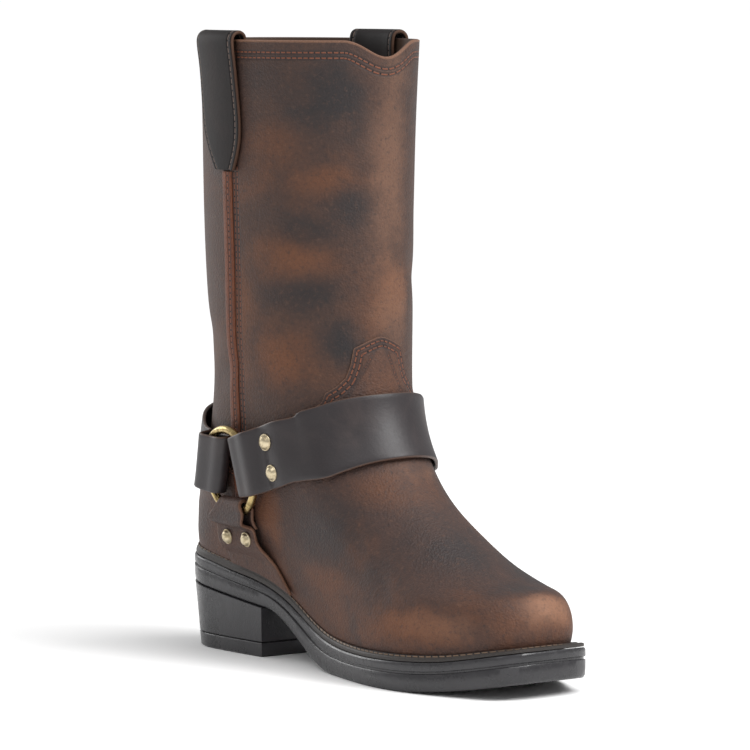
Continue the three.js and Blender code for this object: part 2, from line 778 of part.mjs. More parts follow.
// Belts round the boot: the middle's rise over the rings and half widths at places along it, the
// turns of its rows round the end of the boot, and its fold line as the distance of the fold's outer face
// from the ring's middle at two heights over it.
const INSTEP_BELT = {
  line: table(
    ['x', 'rise', 'half'],
    [
      [78, 3.5, 0.46],
      [88, 5.7, 0.48],
      [105, 10.1, 0.51],
      [123.5, 15.1, 0.51],
      [144.5, 21.4, 0.505],
      [154, 26, 0.505],
      [162, 28.6, 0.505],
    ],
  ),
  width: instepStrapWidth,
  turns: [0.69, 0.74, 0.79, 0.84, 0.885, 0.925, 0.965, 1],
  fold: { high: 20.5, highRun: 4.6, low: -14, lowRun: 10.5 },
  forward: 1,
  end: INSTEP_END,
};
const HEEL_BELT = {
  line: table(
    ['x', 'rise', 'half'],
    [
      [22, 12.3, 0.485],
      [28, 9.8, 0.485],
      [36, 6.8, 0.485],
      [45, 5, 0.49],
      [58, 4.2, 0.49],
      [78, 3.9, 0.49],
    ],
  ),
  width: heelStrapWidth,
  turns: [0.16, 0.11, 0.055, 0],
  fold: { high: 20.4, highRun: -1.9, low: -13.2, lowRun: 11 },
  forward: -1,
  end: HEEL_END,
};

function belt({ line, width, turns, fold, forward, end }, columns) {
  const xs = line.map((row) => row.x);
  const middle = spline(xs, line.map((row) => ringHeight + row.rise));
  const half = spline(xs, line.map((row) => row.half * width));
  const shares = acrossShares(columns);
  const foldRun = (z) => {
    const share = (z - ringHeight - fold.low) / (fold.high - fold.low);
    return mix(fold.lowRun, fold.highRun, share);
  };
  const endRows = (side) =>
    end.map((step) =>
      shares.map((share) => {
        const nearZ = middle(ringX) + share * half(ringX);
        const x = ringX + forward * (foldRun(nearZ) + step.run);
        return ringStrapPoint(side, x, middle(x) + share * half(x), step);
      }),
    );
  const turnRow = (turn) => {
    const centreLevel = levelAtHeight(() => turn, middle);
    const { x } = upperPoint(centreLevel, turn);
    return shares.map((share) => {
      const level = levelAtHeight(() => turn, () => middle(x) + share * half(x));
      return skinPoint(level, turn, strapLift + endEase);
    });
  };
  const home = turns.slice(0, -1).reverse().map((turn) => 2 - turn);
  const rows = [...turns, ...home].map(turnRow);
  return strapFromGrid([...endRows(OUTER), ...rows, ...endRows(INNER).reverse()]);
}

// The straps that hold the rings down: their two edges at rises over the rings' middle.
const SOLE_STRAP = table(
  ['rise', 'back', 'front'],
  [
    [-60.2, 61, 108],
    [-53.2, 58, 102],
    [-45.2, 54, 95],
    [-38.2, 51.5, 89.5],
    [-31.2, 50.4, 86.5],
    [-25.2, 51.5, 86],
    [-20.2, 56.5, 87],
    [-17.2, 62, 85],
    [-12.2, 62, 85],
  ],
);
const soleStrapTop = ringHeight - 13.7;
const soleStrapZ = SOLE_STRAP.map((row) => ringHeight + row.rise);
const soleStrapEdges = {
  back: spline(soleStrapZ, SOLE_STRAP.map((row) => row.back)),
  front: spline(soleStrapZ, SOLE_STRAP.map((row) => row.front)),
};

function soleStrap(side) {
  const shares = acrossShares(STRAP_COLUMNS).map((share) => (share + 1) / 2);
  const xAt = (z, share) => mix(soleStrapEdges.back(z), soleStrapEdges.front(z), share);
  const foldRows = SOLE_END.map((step) => {
    const z = soleStrapTop - step.run;
    return shares.map((share) => ringStrapPoint(side, xAt(z, share), z, step));
  });
  const footZ = (x) => upperPoint(WELT_LEVEL, turnAtX(side, WELT_LEVEL, x)).z + strapGap;
  const lastZ = soleStrapTop - SOLE_END[SOLE_END.length - 1].run;
  const lowRows = [0.35, 0.7, 1].map((down) =>
    shares.map((share) => {
      const footX = xAt(footZ(xAt(lastZ, share)), share);
      const z = mix(lastZ, footZ(footX), down);
      return lifted(sidePlace(side, xAt(z, share), z), strapLift);
    }),
  );
  return strapFromGrid([...foldRows, ...lowRows]);
}

// The pull straps' outline from the tip up, as drops under the collar.
const PULL_STRAP = table(
  ['drop', 'x', 'half'],
  [
    [0, 69, 0.5],
    [27, 70, 0.5],
    [46, 71.7, 0.485],
    [55, 73.2, 0.43],
    [71, 75.8, 0.227],
  ],
);
const PULL_LIFT = table(
  ['drop', 'lift'],
  [
    [71, 1.8],
    [55, 1.85],
    [40, 1.95],
    [24, 2.3],
    [10, 3.1],
    [2, 3.75],
  ],
);
const pullArch = { lift: -0.75, radius: 4.45 };
const PULL_INNER_DROPS = [22, 40, 55];

function pullStrap(side) {
  const drops = PULL_STRAP.map((row) => row.drop);
  const middle = spline(drops, PULL_STRAP.map((row) => row.x));
  const half = spline(drops, PULL_STRAP.map((row) => row.half * pullStrapWidth));
  const outerLeg = PULL_LIFT.map(({ drop, lift }) => ({ drop, lift, up: 0 }));
  const archBase = pullLoopRise - pullArch.radius + strapThickness / 2;
  const arch = [0, 36, 72, 108, 144, 180].map((degrees) => {
    const angle = (degrees * Math.PI) / 180;
    return {
      drop: 0,
      lift: pullArch.lift + pullArch.radius * Math.cos(angle),
      up: archBase + pullArch.radius * Math.sin(angle),
    };
  });
  const innerLift = -wall - strapGap - strapThickness / 2;
  const innerLeg = [
    { drop: 8, lift: pullArch.lift - pullArch.radius, up: 0 },
    ...PULL_INNER_DROPS.map((drop) => ({ drop, lift: innerLift, up: 0 })),
  ];
  const shares = acrossShares(STRAP_COLUMNS);
  const forward = side === INNER ? innerSeamShift : 0;
  return strapFromGrid(
    [...outerLeg, ...arch, ...innerLeg].map(({ drop, lift, up }) =>
      shares.map((share) => {
        const x = middle(drop) + share * half(drop) + forward;
        const point = lifted(sidePlace(side, x, collarHeight - drop), lift);
        return point.setZ(point.z + up);
      }),
    ),
  );
}

// Rivets: places on the boot's sides, from the rings' height, and a dome on a short rim.
const RIVETS = table(
  ['name', 'x', 'rise', 'size'],
  [
    ['instep_rivet_upper', 110.8, 19.8, 1],
    ['instep_rivet_lower', 115.5, 3.8, 1],
    ['sole_rivet_back', 61.5, -36.6, 0.9],
    ['sole_rivet_front', 79.5, -36.4, 0.9],
  ],
);
const DOME = [[0, 0], [0.5, 0], [0.5, 0.22], [0.36, 0.75], [0, 1]];

function rivet(side, { x, rise, size }) {
  const profile = DOME.map(
    ([radius, rise]) => new THREE.Vector2(radius * rivetDiameter * size, rise * rivetDome),
  );
  const dome = new THREE.LatheGeometry(profile, RIVET_POINTS);
  const place = sidePlace(side, x, ringHeight + rise);
  const base = lifted(place, doubleLift + strapThickness / 2 + rivetGap);
  const turn = new THREE.Quaternion().setFromUnitVectors(new THREE.Vector3(0, 1, 0), place.normal);
  dome.applyQuaternion(turn).translate(base.x, base.y, base.z);
  return fromSolid(toSolid(dome));
}

addPiece('outsole', outsole(), 'sole');
addPiece('heel_block', heelBlock(), 'sole');
addPiece('heel_lift', heelLift(), 'sole');
addPiece('welt', welt(), 'welt');
addPiece('insole', insole(), 'insole');
addPiece('upper', skinShell(0, -wall), 'leather');
addPiece('vamp', vamp(), 'vampLeather');
addPiece('counter', counter(), 'vampLeather');
addPiece('instep_strap', belt(INSTEP_BELT, STRAP_COLUMNS), 'strapLeather');
addPiece('heel_strap', belt(HEEL_BELT, STRAP_COLUMNS), 'strapLeather');
for (const [side, name] of [[OUTER, 'outer'], [INNER, 'inner']]) {
  addPiece(`seam_strip_${name}`, seamStrip(side), 'seamLeather');
  addPiece(`pull_strap_${name}`, pullStrap(side), 'strapLeather');
  addPiece(`sole_strap_${name}`, soleStrap(side), 'vampLeather');
  addPiece(`ring_${name}`, ringMesh(side), 'brass');
  for (const row of RIVETS) addPiece(`${row.name}_${name}`, rivet(side, row), 'brass');
}

export default group;
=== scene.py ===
import math

import bpy
import numpy as np
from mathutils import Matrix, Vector


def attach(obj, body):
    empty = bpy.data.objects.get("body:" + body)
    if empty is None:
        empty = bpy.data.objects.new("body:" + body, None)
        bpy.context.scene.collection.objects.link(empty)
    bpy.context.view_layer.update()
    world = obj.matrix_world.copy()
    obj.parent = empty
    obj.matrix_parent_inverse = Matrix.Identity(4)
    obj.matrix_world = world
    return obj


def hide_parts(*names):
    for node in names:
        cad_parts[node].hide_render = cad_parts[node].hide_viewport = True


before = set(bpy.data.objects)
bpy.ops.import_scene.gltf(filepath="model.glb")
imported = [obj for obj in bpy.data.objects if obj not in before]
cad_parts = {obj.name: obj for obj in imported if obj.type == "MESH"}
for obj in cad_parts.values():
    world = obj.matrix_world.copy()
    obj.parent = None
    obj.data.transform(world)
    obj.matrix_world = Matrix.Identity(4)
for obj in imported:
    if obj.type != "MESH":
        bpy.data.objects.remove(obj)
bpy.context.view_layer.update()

# The studio: a pale matt floor that fills the picture, an even white room, a soft ceiling light
# and three soft lamps. The camera stands low before the outer front of the boot, with a long lens.
CAMERA_TARGET = Vector((0.0865, 0, 0.17))
CAMERA_AZIMUTH = math.radians(53.1)
CAMERA_ELEVATION = math.radians(4.6)
CAMERA_DISTANCE = 2.612


def seen_from(target, azimuth, elevation, distance):
    """Place at a distance from the target: azimuth turns from -Y towards +X, elevation rises."""
    level = math.cos(elevation)
    way = Vector((math.sin(azimuth) * level, -math.cos(azimuth) * level, math.sin(elevation)))
    return target + way * distance


def aim(thing, place, target):
    thing.location = place
    thing.rotation_euler = (target - place).to_track_quat("-Z", "Y").to_euler()
    bpy.context.scene.collection.objects.link(thing)


camera = bpy.data.objects.new("camera", bpy.data.cameras.new("camera"))
camera.data.lens = 228.5
camera.data.sensor_width = 36
camera.data.shift_x = 0.0225
camera.data.shift_y = -0.026
camera.data.clip_end = 500
aim(
    camera,
    seen_from(CAMERA_TARGET, CAMERA_AZIMUTH, CAMERA_ELEVATION, CAMERA_DISTANCE),
    CAMERA_TARGET,
)
bpy.context.scene.camera = camera
bpy.context.scene.view_settings.view_transform = "Standard"

LAMPS = (
    # name, azimuth, elevation, distance, size, power
    ("key_lamp", 20, 45, 1.9, 0.9, 5),
    ("rim_lamp", -75, 18, 1.8, 0.9, 9),
    ("front_lamp", 112, 36, 1.9, 0.7, 16),
)
LAMP_TARGET = Vector((0.08, 0, 0.16))
for name, azimuth, elevation, distance, size, power in LAMPS:
    lamp = bpy.data.objects.new(name, bpy.data.lights.new(name, "AREA"))
    lamp.data.size = size
    lamp.data.energy = power
    place = seen_from(LAMP_TARGET, math.radians(azimuth), math.radians(elevation), distance)
    aim(lamp, place, LAMP_TARGET)

ceiling = bpy.data.objects.new("ceiling_light", bpy.data.lights.new("ceiling_light", "SUN"))
ceiling.data.energy = 2
ceiling.data.angle = math.radians(40)
aim(ceiling, seen_from(Vector(), math.radians(115), math.radians(62), 3), Vector())

world = bpy.data.worlds.new("white_room")
world.use_nodes = True
world.node_tree.nodes["Background"].inputs["Color"].default_value = (1, 1, 1, 1)
world.node_tree.nodes["Background"].inputs["Strength"].default_value = 0.5
bpy.context.scene.world = world

FLOOR_REACH = 180
FLOOR_CORNERS = ((-1, -1), (1, -1), (1, 1), (-1, 1))
floor_mesh = bpy.data.meshes.new("floor")
floor_corners = [(x * FLOOR_REACH, y * FLOOR_REACH, 0) for x, y in FLOOR_CORNERS]
floor_mesh.from_pydata(floor_corners, [], [(0, 1, 2, 3)])
floor = bpy.data.objects.new("floor", floor_mesh)
bpy.context.scene.collection.objects.link(floor)
floor_paint = bpy.data.materials.new("floor_paint")
floor_paint.use_nodes = True
floor_shader = floor_paint.node_tree.nodes["Principled BSDF"]
floor_shader.inputs["Base Color"].default_value = (0.96, 0.96, 0.96, 1)
floor_shader.inputs["Roughness"].default_value = 1
floor_shader.inputs["Specular IOR Level"].default_value = 0
floor_mesh.materials.append(floor_paint)


# The outsole is one moulded rubber sole, black and half glossy, with a thin groove under its top
# layer, a hollow waist and a slight toe spring. Lengths here are millimetres from its back.
def curve_through(knots, values):
    """A natural cubic spline: the straight mix of two knots' values plus, for each knot, a sixth
    of its bend times the squared span times the cube of its share less the share."""
    knots = np.asarray(knots, float)
    values = np.asarray(values, float)
    spans = np.diff(knots)
    count = len(knots)
    system = np.eye(count)
    wanted = np.zeros(values.shape)
    for i in range(1, count - 1):
        system[i, i - 1 : i + 2] = spans[i - 1], 2 * (spans[i - 1] + spans[i]), spans[i]
        after = (values[i + 1] - values[i]) / spans[i]
        before = (values[i] - values[i - 1]) / spans[i - 1]
        wanted[i] = 6 * (after - before)
    bends = np.linalg.solve(system, wanted.reshape(count, -1)).reshape(values.shape)
    start = (values[1] - values[0]) / spans[0] - spans[0] * bends[1] / 6
    end = (values[-1] - values[-2]) / spans[-1] + spans[-1] * bends[-2] / 6

    def curve(x):
        x = np.asarray(x, float)
        i = np.clip(np.searchsorted(knots, x) - 1, 0, count - 2)
        wide = x.shape + (1,) * (values.ndim - 1)
        inside = np.clip(x, knots[0], knots[-1])
        right = ((inside - knots[i]) / spans[i]).reshape(wide)
        left = 1 - right
        bend = (left**3 - left) * bends[i] + (right**3 - right) * bends[i + 1]
        low = np.minimum(x - knots[0], 0).reshape(wide) * start
        high = np.maximum(x - knots[-1], 0).reshape(wide) * end
        span = spans[i].reshape(wide)
        return left * values[i] + right * values[i + 1] + bend * span**2 / 6 + low + high

    return curve


def mix(a, b, share):
    return a + (b - a) * share


def smooth(value):
    """Rises from 0 to 1 with level ends: three squares less two cubes."""
    value = np.clip(value, 0, 1)
    return value * value * (3 - 2 * value)


def rounding(share, power):
    """A quarter of a superellipse: 0 at the end of a form, 1 where its rounding is over."""
    return (1 - (1 - np.clip(share, 0, 1)) ** power) ** (1 / power)


OUTER = -1
INNER = 1
SIDES = ((OUTER, "outer"), (INNER, "inner"))
SOLE_LENGTH = 295
BALL_WIDTH = 97
SOLE_THICKNESS = 15.2
TOE_SPRING = 9.2
NOSE_REACH = 0.047 * SOLE_LENGTH
SEAT_REACH = 0.11 * SOLE_LENGTH
WAIST_END = 0.54 * SOLE_LENGTH
SPRING_START = 0.76 * SOLE_LENGTH
HEEL_LENGTH = 83
HEEL_BACK_HEIGHT = 38.3
HEEL_BREAST_HEIGHT = 28.5
HEEL_TAPER = 4
HEEL_SIDE_TAPER = 1.5
ORIGIN = np.array([(HEEL_TAPER + HEEL_LENGTH) / 2, 0, 0])
GAP = 0.3
SEAT = 0.45

SOLE_PLAN = np.array([
    # along, outer, inner
    [0.1, 0.345, 0.32],
    [0.2, 0.345, 0.316],
    [0.3, 0.331, 0.282],
    [0.42, 0.345, 0.262],
    [0.52, 0.402, 0.3],
    [0.62, 0.47, 0.395],
    [0.7, 0.503, 0.485],
    [0.78, 0.489, 0.52],
    [0.86, 0.422, 0.478],
    [0.93, 0.336, 0.39],
    [1, 0.258, 0.322],
])
SOLE_TOP = np.array([
    # along, rise, spring
    [0, 1, 0],
    [0.1, 0.92, 0],
    [0.18, 0.82, 0],
    [0.265, 0.715, 0],
    [0.315, 0.615, 0],
    [0.366, 0.47, 0],
    [0.423, 0.27, 0],
    [0.489, 0.095, 0],
    [0.577, 0.01, 0],
    [0.65, 0, 0],
    [0.72, 0, 0.04],
    [0.8, 0, 0.14],
    [0.87, 0, 0.34],
    [0.937, 0, 0.72],
    [1, 0, 1.12],
])
plan_x = SOLE_PLAN[:, 0] * SOLE_LENGTH
plan_curves = curve_through(plan_x, SOLE_PLAN[:, 1:] * BALL_WIDTH)
sole_top = curve_through(
    SOLE_TOP[:, 0] * SOLE_LENGTH,
    SOLE_THICKNESS + HEEL_BACK_HEIGHT * SOLE_TOP[:, 1] + TOE_SPRING * SOLE_TOP[:, 2],
)


def sole_half(side, x):
    """Half width of the sole's plan at x on a side, before its ends are rounded."""
    halves = plan_curves(np.clip(x, plan_x[0], SOLE_LENGTH))
    return np.where(side == OUTER, halves[..., 0], halves[..., 1])


def sole_edge(side, x, inset, side_inset):
    """The plan's half width less the side inset, times the nose's and the heel's rounding."""
    nose = rounding((SOLE_LENGTH - inset - x) / NOSE_REACH, 3)
    heel = rounding((x - inset) / SEAT_REACH, 2.2)
    return (sole_half(side, x) - side_inset) * nose * heel


def sole_underside(x):
    """The heel seat's slope, then the waist's soft step, the flat tread and the toe spring."""
    seat = mix(HEEL_BACK_HEIGHT, HEEL_BREAST_HEIGHT, np.clip(x / HEEL_LENGTH, 0, 1))
    waist = np.clip((WAIST_END - x) / (WAIST_END - HEEL_LENGTH), 0, 1)
    spring = np.clip((x - SPRING_START) / (SOLE_LENGTH - SPRING_START), 0, 1)
    rest = HEEL_BREAST_HEIGHT * smooth(waist**1.2) + TOE_SPRING * spring**1.6
    return np.where(x <= HEEL_LENGTH, seat, rest)


def end_share(share):
    """Half of one less a cosine, so that points gather at both ends."""
    return (1 - np.cos(np.pi * share)) / 2


def side_of(turn):
    return np.where(np.mod(turn, 2) <= 1, OUTER, INNER)


def way_of(turn):
    """Share of the way from back to front, for a turn that goes round the outer side first."""
    around = np.mod(turn, 2)
    return end_share(np.where(around <= 1, around, 2 - around))


def sole_ring(turn, back, front, height, inset, side_inset):
    """A ring of the sole's plan: x from the turn, y the edge's half width on the turn's side."""
    x = mix(back, front, way_of(turn))
    y = side_of(turn) * sole_edge(side_of(turn), x, inset, side_inset)
    return np.stack([x, y, height(x)], -1)


def quads(rows, columns, wrap_rows=False, wrap_columns=True):
    """Each cell of a grid as its corner, the next column's, the one above that and its own."""
    low = np.arange(rows if wrap_rows else rows - 1)[:, None]
    left = np.arange(columns if wrap_columns else columns - 1)[None, :]
    high = (low + 1) % rows
    right = (left + 1) % columns
    cells = [low * columns + left, low * columns + right, high * columns + right]
    return np.stack([*cells, high * columns + left], -1).reshape(-1, 4)


def strip_cap(first, size):
    """Closes a ring of points by strips laid across from one half to the other."""
    faces = []
    for j in range(size // 2):
        corners = [j, j + 1, (size - j - 1) % size, (size - j) % size]
        faces.append([first + c for c in dict.fromkeys(corners)])
    return [face for face in faces if len(face) > 2]


def lay_map(mesh, layer, values):
    """A UV map from two lengths in millimetres at each point of the mesh."""
    corner = np.empty(len(mesh.loops), int)
    mesh.loops.foreach_get("vertex_index", corner)
    data = mesh.uv_layers.new(name=layer).data
    data.foreach_set("uv", np.asarray(values).reshape(-1, 2)[corner].ravel() / 1000)


def make_piece(name, points, faces, uv=None, sharp=38):
    """Puts points in millimetres and faces into a mesh in the frame's metres, faces outwards."""
    points = (np.asarray(points).reshape(-1, 3) - ORIGIN) / 1000
    faces = [list(face) for face in faces]
    fans = np.array([[f[0], f[k], f[k + 1]] for f in faces for k in range(1, len(f) - 1)])
    a, b, c = points[fans[:, 0]], points[fans[:, 1]], points[fans[:, 2]]
    if np.einsum("ij,ij->", a, np.cross(b, c)) < 0:
        faces = [face[::-1] for face in faces]
    mesh = bpy.data.meshes.new(name)
    mesh.from_pydata(points.tolist(), [], faces)
    mesh.polygons.foreach_set("use_smooth", np.ones(len(mesh.polygons), bool))
    if uv is not None:
        lay_map(mesh, "stitch", uv)
    mesh.set_sharp_from_angle(angle=math.radians(sharp))
    piece = bpy.data.objects.new(name, mesh)
    bpy.context.scene.collection.objects.link(piece)
    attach(piece, "root")
    return piece


def stacked(name, rings, uv=None):
    """Rings joined one above the next, the first and the last closed by strips."""
    size = rings[0].shape[0]
    faces = quads(len(rings), size).tolist()
    top = (len(rings) - 1) * size
    faces += [face[::-1] for face in strip_cap(0, size)] + strip_cap(top, size)
    return make_piece(name, np.concatenate(rings), faces, uv)


class Wire:
    """A shader socket whose sums are written as Python sums, each one a Math node."""

    def __init__(self, finish, socket):
        self.finish = finish
        self.socket = socket

    def sum(self, operation, *values):
        return self.finish.node("ShaderNodeMath", {"operation": operation}, dict(enumerate(values)))

    def __add__(self, other):
        return self.sum("ADD", self, other)

    def __sub__(self, other):
        return self.sum("SUBTRACT", self, other)

    def __mul__(self, other):
        return self.sum("MULTIPLY", self, other)

    def __truediv__(self, other):
        return self.sum("DIVIDE", self, other)

    __radd__ = __add__

    def size(self):
        return self.sum("ABSOLUTE", self)

    def larger(self, other):
        return self.sum("MAXIMUM", self, other)

    def fraction(self):
        return self.sum("FRACT", self)


class Finish:
    """A material in the making. node() adds any node from its settings and its inputs."""

    def __init__(self, name):
        self.material = bpy.data.materials.new(name)
        self.material.use_nodes = True
        self.tree = self.material.node_tree
        self.shader = self.tree.nodes["Principled BSDF"]
        self.place = self.node("ShaderNodeTexCoord", output=3)

    def node(self, kind, settings=None, inputs=None, output=0):
        node = self.tree.nodes.new(kind)
        for key, value in (settings or {}).items():
            setattr(node, key, value)
        for key, value in (inputs or {}).items():
            self.feed(node.inputs[key], value)
        return Wire(self, node.outputs[output])

    def feed(self, socket, value):
        if isinstance(value, Wire):
            self.tree.links.new(value.socket, socket)
        else:
            socket.default_value = value

    def surface(self, **inputs):
        for key, value in inputs.items():
            self.feed(self.shader.inputs[key.replace("_", " ")], value)
        return self.material

    def ramp(self, value, low, high):
        """0 at low and 1 at high, smooth between."""
        limits = {"Value": value, "From Min": low, "From Max": high}
        return self.node("ShaderNodeMapRange", {"interpolation_type": "SMOOTHSTEP"}, limits)

    def blend(self, share, a, b):
        """A colour mixed from a to b."""
        colours = {0: share, 6: a, 7: b}
        return self.node("ShaderNodeMix", {"data_type": "RGBA"}, colours, output=2)

    def noise(self, scale, detail=2, roughness=0.5, distortion=0):
        values = {"Vector": self.place, "Scale": scale, "Detail": detail}
        values |= {"Roughness": roughness, "Distortion": distortion}
        return self.node("ShaderNodeTexNoise", None, values)

    def cells(self, scale):
        values = {"Vector": self.place, "Scale": scale}
        return self.node("ShaderNodeTexVoronoi", None, values)

    def bump(self, height, distance, strength=1, under=None):
        values = {"Height": height, "Distance": distance, "Strength": strength}
        if under:
            values["Normal"] = under
        return self.node("ShaderNodeBump", None, values)

    def vector(self, operation, *values, output=0):
        inputs = dict(enumerate(values))
        return self.node("ShaderNodeVectorMath", {"operation": operation}, inputs, output)

    def spots(self, rows, start=None):
        """The strongest of some soft, ragged spots, each from its middle, reach and strength."""
        total = start
        ragged = (self.noise(48, 4, 0.6) - 0.5) * 1.5
        for middle, reach, strength in rows:
            scaled = self.vector("DIVIDE", self.vector("SUBTRACT", self.place, middle), reach)
            away = self.vector("LENGTH", scaled, output=1)
            spot = self.ramp(away + ragged, 1.1, 0.1) * strength
            total = total.larger(spot) if total else spot
        return total


def rubber():
    """Black sole rubber: cloudy in tone, faintly pitted, with duller scuffed patches."""
    finish = Finish("sole_rubber")
    cloud = finish.noise(38, 4)
    scuff = finish.ramp(finish.noise(120, 5, 0.7), 0.5, 0.72)
    tone = finish.blend(cloud, (0.011, 0.011, 0.012, 1), (0.036, 0.034, 0.038, 1))
    tone = finish.blend(scuff * 0.35, tone, (0.045, 0.042, 0.044, 1))
    pits = finish.noise(900, 3, 0.6) + finish.noise(160, 2) * 2
    return finish.surface(
        Base_Color=tone,
        Roughness=0.2 + cloud * 0.14 + scuff * 0.18,
        Normal=finish.bump(pits, 0.00022, 0.5),
    )


SOLE_SIDE = (
    # share of the height, inset
    (0, 1.6),
    (0.03, 0.9),
    (0.1, 0.3),
    (0.3, 0.05),
    (0.575, 0),
    (0.6, 0.25),
    (0.62, 0.9),
    (0.68, 0.9),
    (0.7, 0.25),
    (0.725, 0),
    (0.92, 0.1),
    (0.97, 0.35),
    (1, 0.9),
)
sole_turns = np.arange(320) / 160
sole_rings = [
    sole_ring(
        sole_turns,
        inset,
        SOLE_LENGTH - inset,
        lambda x, up=up: mix(sole_underside(x), sole_top(x), up),
        inset,
        inset,
    )
    for up, inset in SOLE_SIDE
]
outsole = stacked("sole", sole_rings)
sole_rubber = rubber()
outsole.data.materials.append(sole_rubber)
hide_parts("outsole")

# The heel is a stacked block that narrows towards the floor, and under it a top lift of the same
# black rubber, pinned on, with a fine line between the two.
LIFT_THICKNESS = 8
BLOCK_BASE = LIFT_THICKNESS + GAP
BLOCK_EDGE = 0.5
SEAT_EDGE = 0.3
LIFT_EDGE = 0.8
LINE_EDGE = 0.4
HEEL_COLUMNS = 60
BREAST_COLUMNS = 16
along = end_share(np.linspace(0, 1, HEEL_COLUMNS))
across = np.linspace(1, 0, BREAST_COLUMNS)[1:]
heel_way = np.concatenate([along, np.ones(len(across)), np.ones(len(across) - 1), along[:0:-1]])
heel_side = np.concatenate([
    np.full(HEEL_COLUMNS + len(across), OUTER),
    np.full(len(across) - 1 + HEEL_COLUMNS - 1, INNER),
])
heel_open = np.concatenate([
    np.ones(HEEL_COLUMNS), across, across[-2::-1], np.ones(HEEL_COLUMNS - 1)
])


def heel_slice(height_at, height, soften=0):
    """The sole's ring as far as the heel's breast, drawn in more the lower it lies."""
    down = 1 - np.clip(height / HEEL_BACK_HEIGHT, 0, 1)
    inset = GAP + HEEL_TAPER * down + soften
    front = HEEL_LENGTH - HEEL_SIDE_TAPER * down - soften
    side_inset = GAP + HEEL_SIDE_TAPER * down + soften
    x = mix(inset, front, heel_way)
    y = heel_side * sole_edge(heel_side, x, inset, side_inset) * heel_open
    return np.stack([x, y, height_at(x)], -1)


def level_slice(z, height, soften=0):
    return heel_slice(lambda x: 0 * x + z, height, soften)


def block_slice(share, height):
    """A slice between the block's softened lower and upper edges."""
    low = BLOCK_BASE + BLOCK_EDGE
    return heel_slice(lambda x: mix(low, sole_underside(x) - SEAT - SEAT_EDGE, share), height)


heel_block = stacked("heel_stack", [
    level_slice(BLOCK_BASE, BLOCK_BASE, BLOCK_EDGE),
    level_slice(BLOCK_BASE + BLOCK_EDGE, BLOCK_BASE + BLOCK_EDGE),
    block_slice(0.33, 18.57),
    block_slice(0.66, 28.14),
    block_slice(1, HEEL_BACK_HEIGHT),
    heel_slice(lambda x: sole_underside(x) - SEAT, HEEL_BACK_HEIGHT, LINE_EDGE),
])
heel_lift = stacked("heel_top_lift", [
    level_slice(0, 0, LIFT_EDGE),
    level_slice(LIFT_EDGE, LIFT_EDGE),
    level_slice(LIFT_THICKNESS - LINE_EDGE, LIFT_THICKNESS),
    level_slice(LIFT_THICKNESS, LIFT_THICKNESS, LINE_EDGE),
])
for piece, node, slot in (
    (heel_block, "heel_block", "heel_stack"), (heel_lift, "heel_lift", "sole_rubber")
):
    piece.data.materials.append(sole_rubber)
    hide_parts(node)

# The upper is one hollow form of oiled leather, foot and straight shaft, with a lining inside and
# a double row of stitches under the collar and beside the side seams. It is lasted and sewn.
INSTEP_HEIGHT = 100
COLLAR_HEIGHT = 342.5
COLLAR_DIP = 9
COLLAR_DIP_REACH = 25
COLLAR_DIP_LEVELS = 1.2
SHAFT_CENTRE = 83.5
SHAFT_DEPTH = 144
SHAFT_WIDTH = 104
WALL = 2.2
WELT_LEVEL = 0.45

FOOT_COLUMNS = ("back_rise", "front_rise", "follow", "back", "front", "shaft", "heel", "waist",
                "ball", "toe", "nose", "nose_power", "rear", "rear_power")
FOOT_ROWS = (
    (0, 0, 1, 0.62, 0.93, 0, 0.87, 0.85, 0.84, 0.8, 0.082, 3.3, 0.115, 2.2),
    (0.117, 0.085, 1, 0.74, 0.952, 0, 0.91, 0.9, 0.9, 0.84, 0.082, 3.2, 0.12, 2.2),
    (0.207, 0.175, 1, 0.77, 0.952, 0, 0.93, 0.96, 0.91, 0.84, 0.088, 3.1, 0.125, 2.2),
    (0.287, 0.256, 1, 0.76, 0.928, 0, 0.95, 1.01, 0.89, 0.8, 0.098, 3, 0.13, 2.2),
    (0.348, 0.305, 1, 0.71, 0.878, 0, 0.97, 1.05, 0.87, 0.77, 0.118, 2.8, 0.135, 2.15),
    (0.405, 0.34, 0.98, 0.63, 0.798, 0, 1, 1.08, 0.84, 0.77, 0.145, 2.55, 0.14, 2.15),
    (0.47, 0.4, 0.95, 0.5, 0.69, 0.1, 0.95, 1.05, 0.8, 0.78, 0.176, 2.35, 0.145, 2.1),
    (0.54, 0.485, 0.9, 0.34, 0.58, 0.2, 0.93, 1.01, 0.78, 0.79, 0.203, 2.2, 0.152, 2.1),
    (0.62, 0.595, 0.8, 0.14, 0.465, 0.32, 0.91, 0.98, 0.76, 0.78, 0.224, 2.1, 0.16, 2.1),
    (0.71, 0.7, 0.68, -0.08, 0.352, 0.45, 0.9, 0.95, 0.75, 0.75, 0.237, 2.05, 0.166, 2.05),
    (0.82, 0.82, 0.55, -0.3, 0.245, 0.58, 0.88, 0.93, 0.75, 0.74, 0.244, 2, 0.176, 2.05),
    (0.93, 0.96, 0.4, -0.5, 0.15, 0.72, 0.87, 0.9, 0.76, 0.75, 0.247, 2, 0.19, 2.05),
    (1.06, 1.11, 0.25, -0.65, 0.068, 0.86, 0.86, 0.89, 0.8, 0.76, 0.244, 2, 0.203, 2.05),
    (1.21, 1.3, 0.12, -0.68, 0.012, 0.96, 0.87, 0.89, 0.85, 0.82, 0.237, 2.05, 0.214, 2.05),
)
SHAFT_COLUMNS = ("back_height", "front_height", "back", "front", "heel", "waist", "ball", "toe",
                 "nose", "nose_power", "rear", "rear_power")
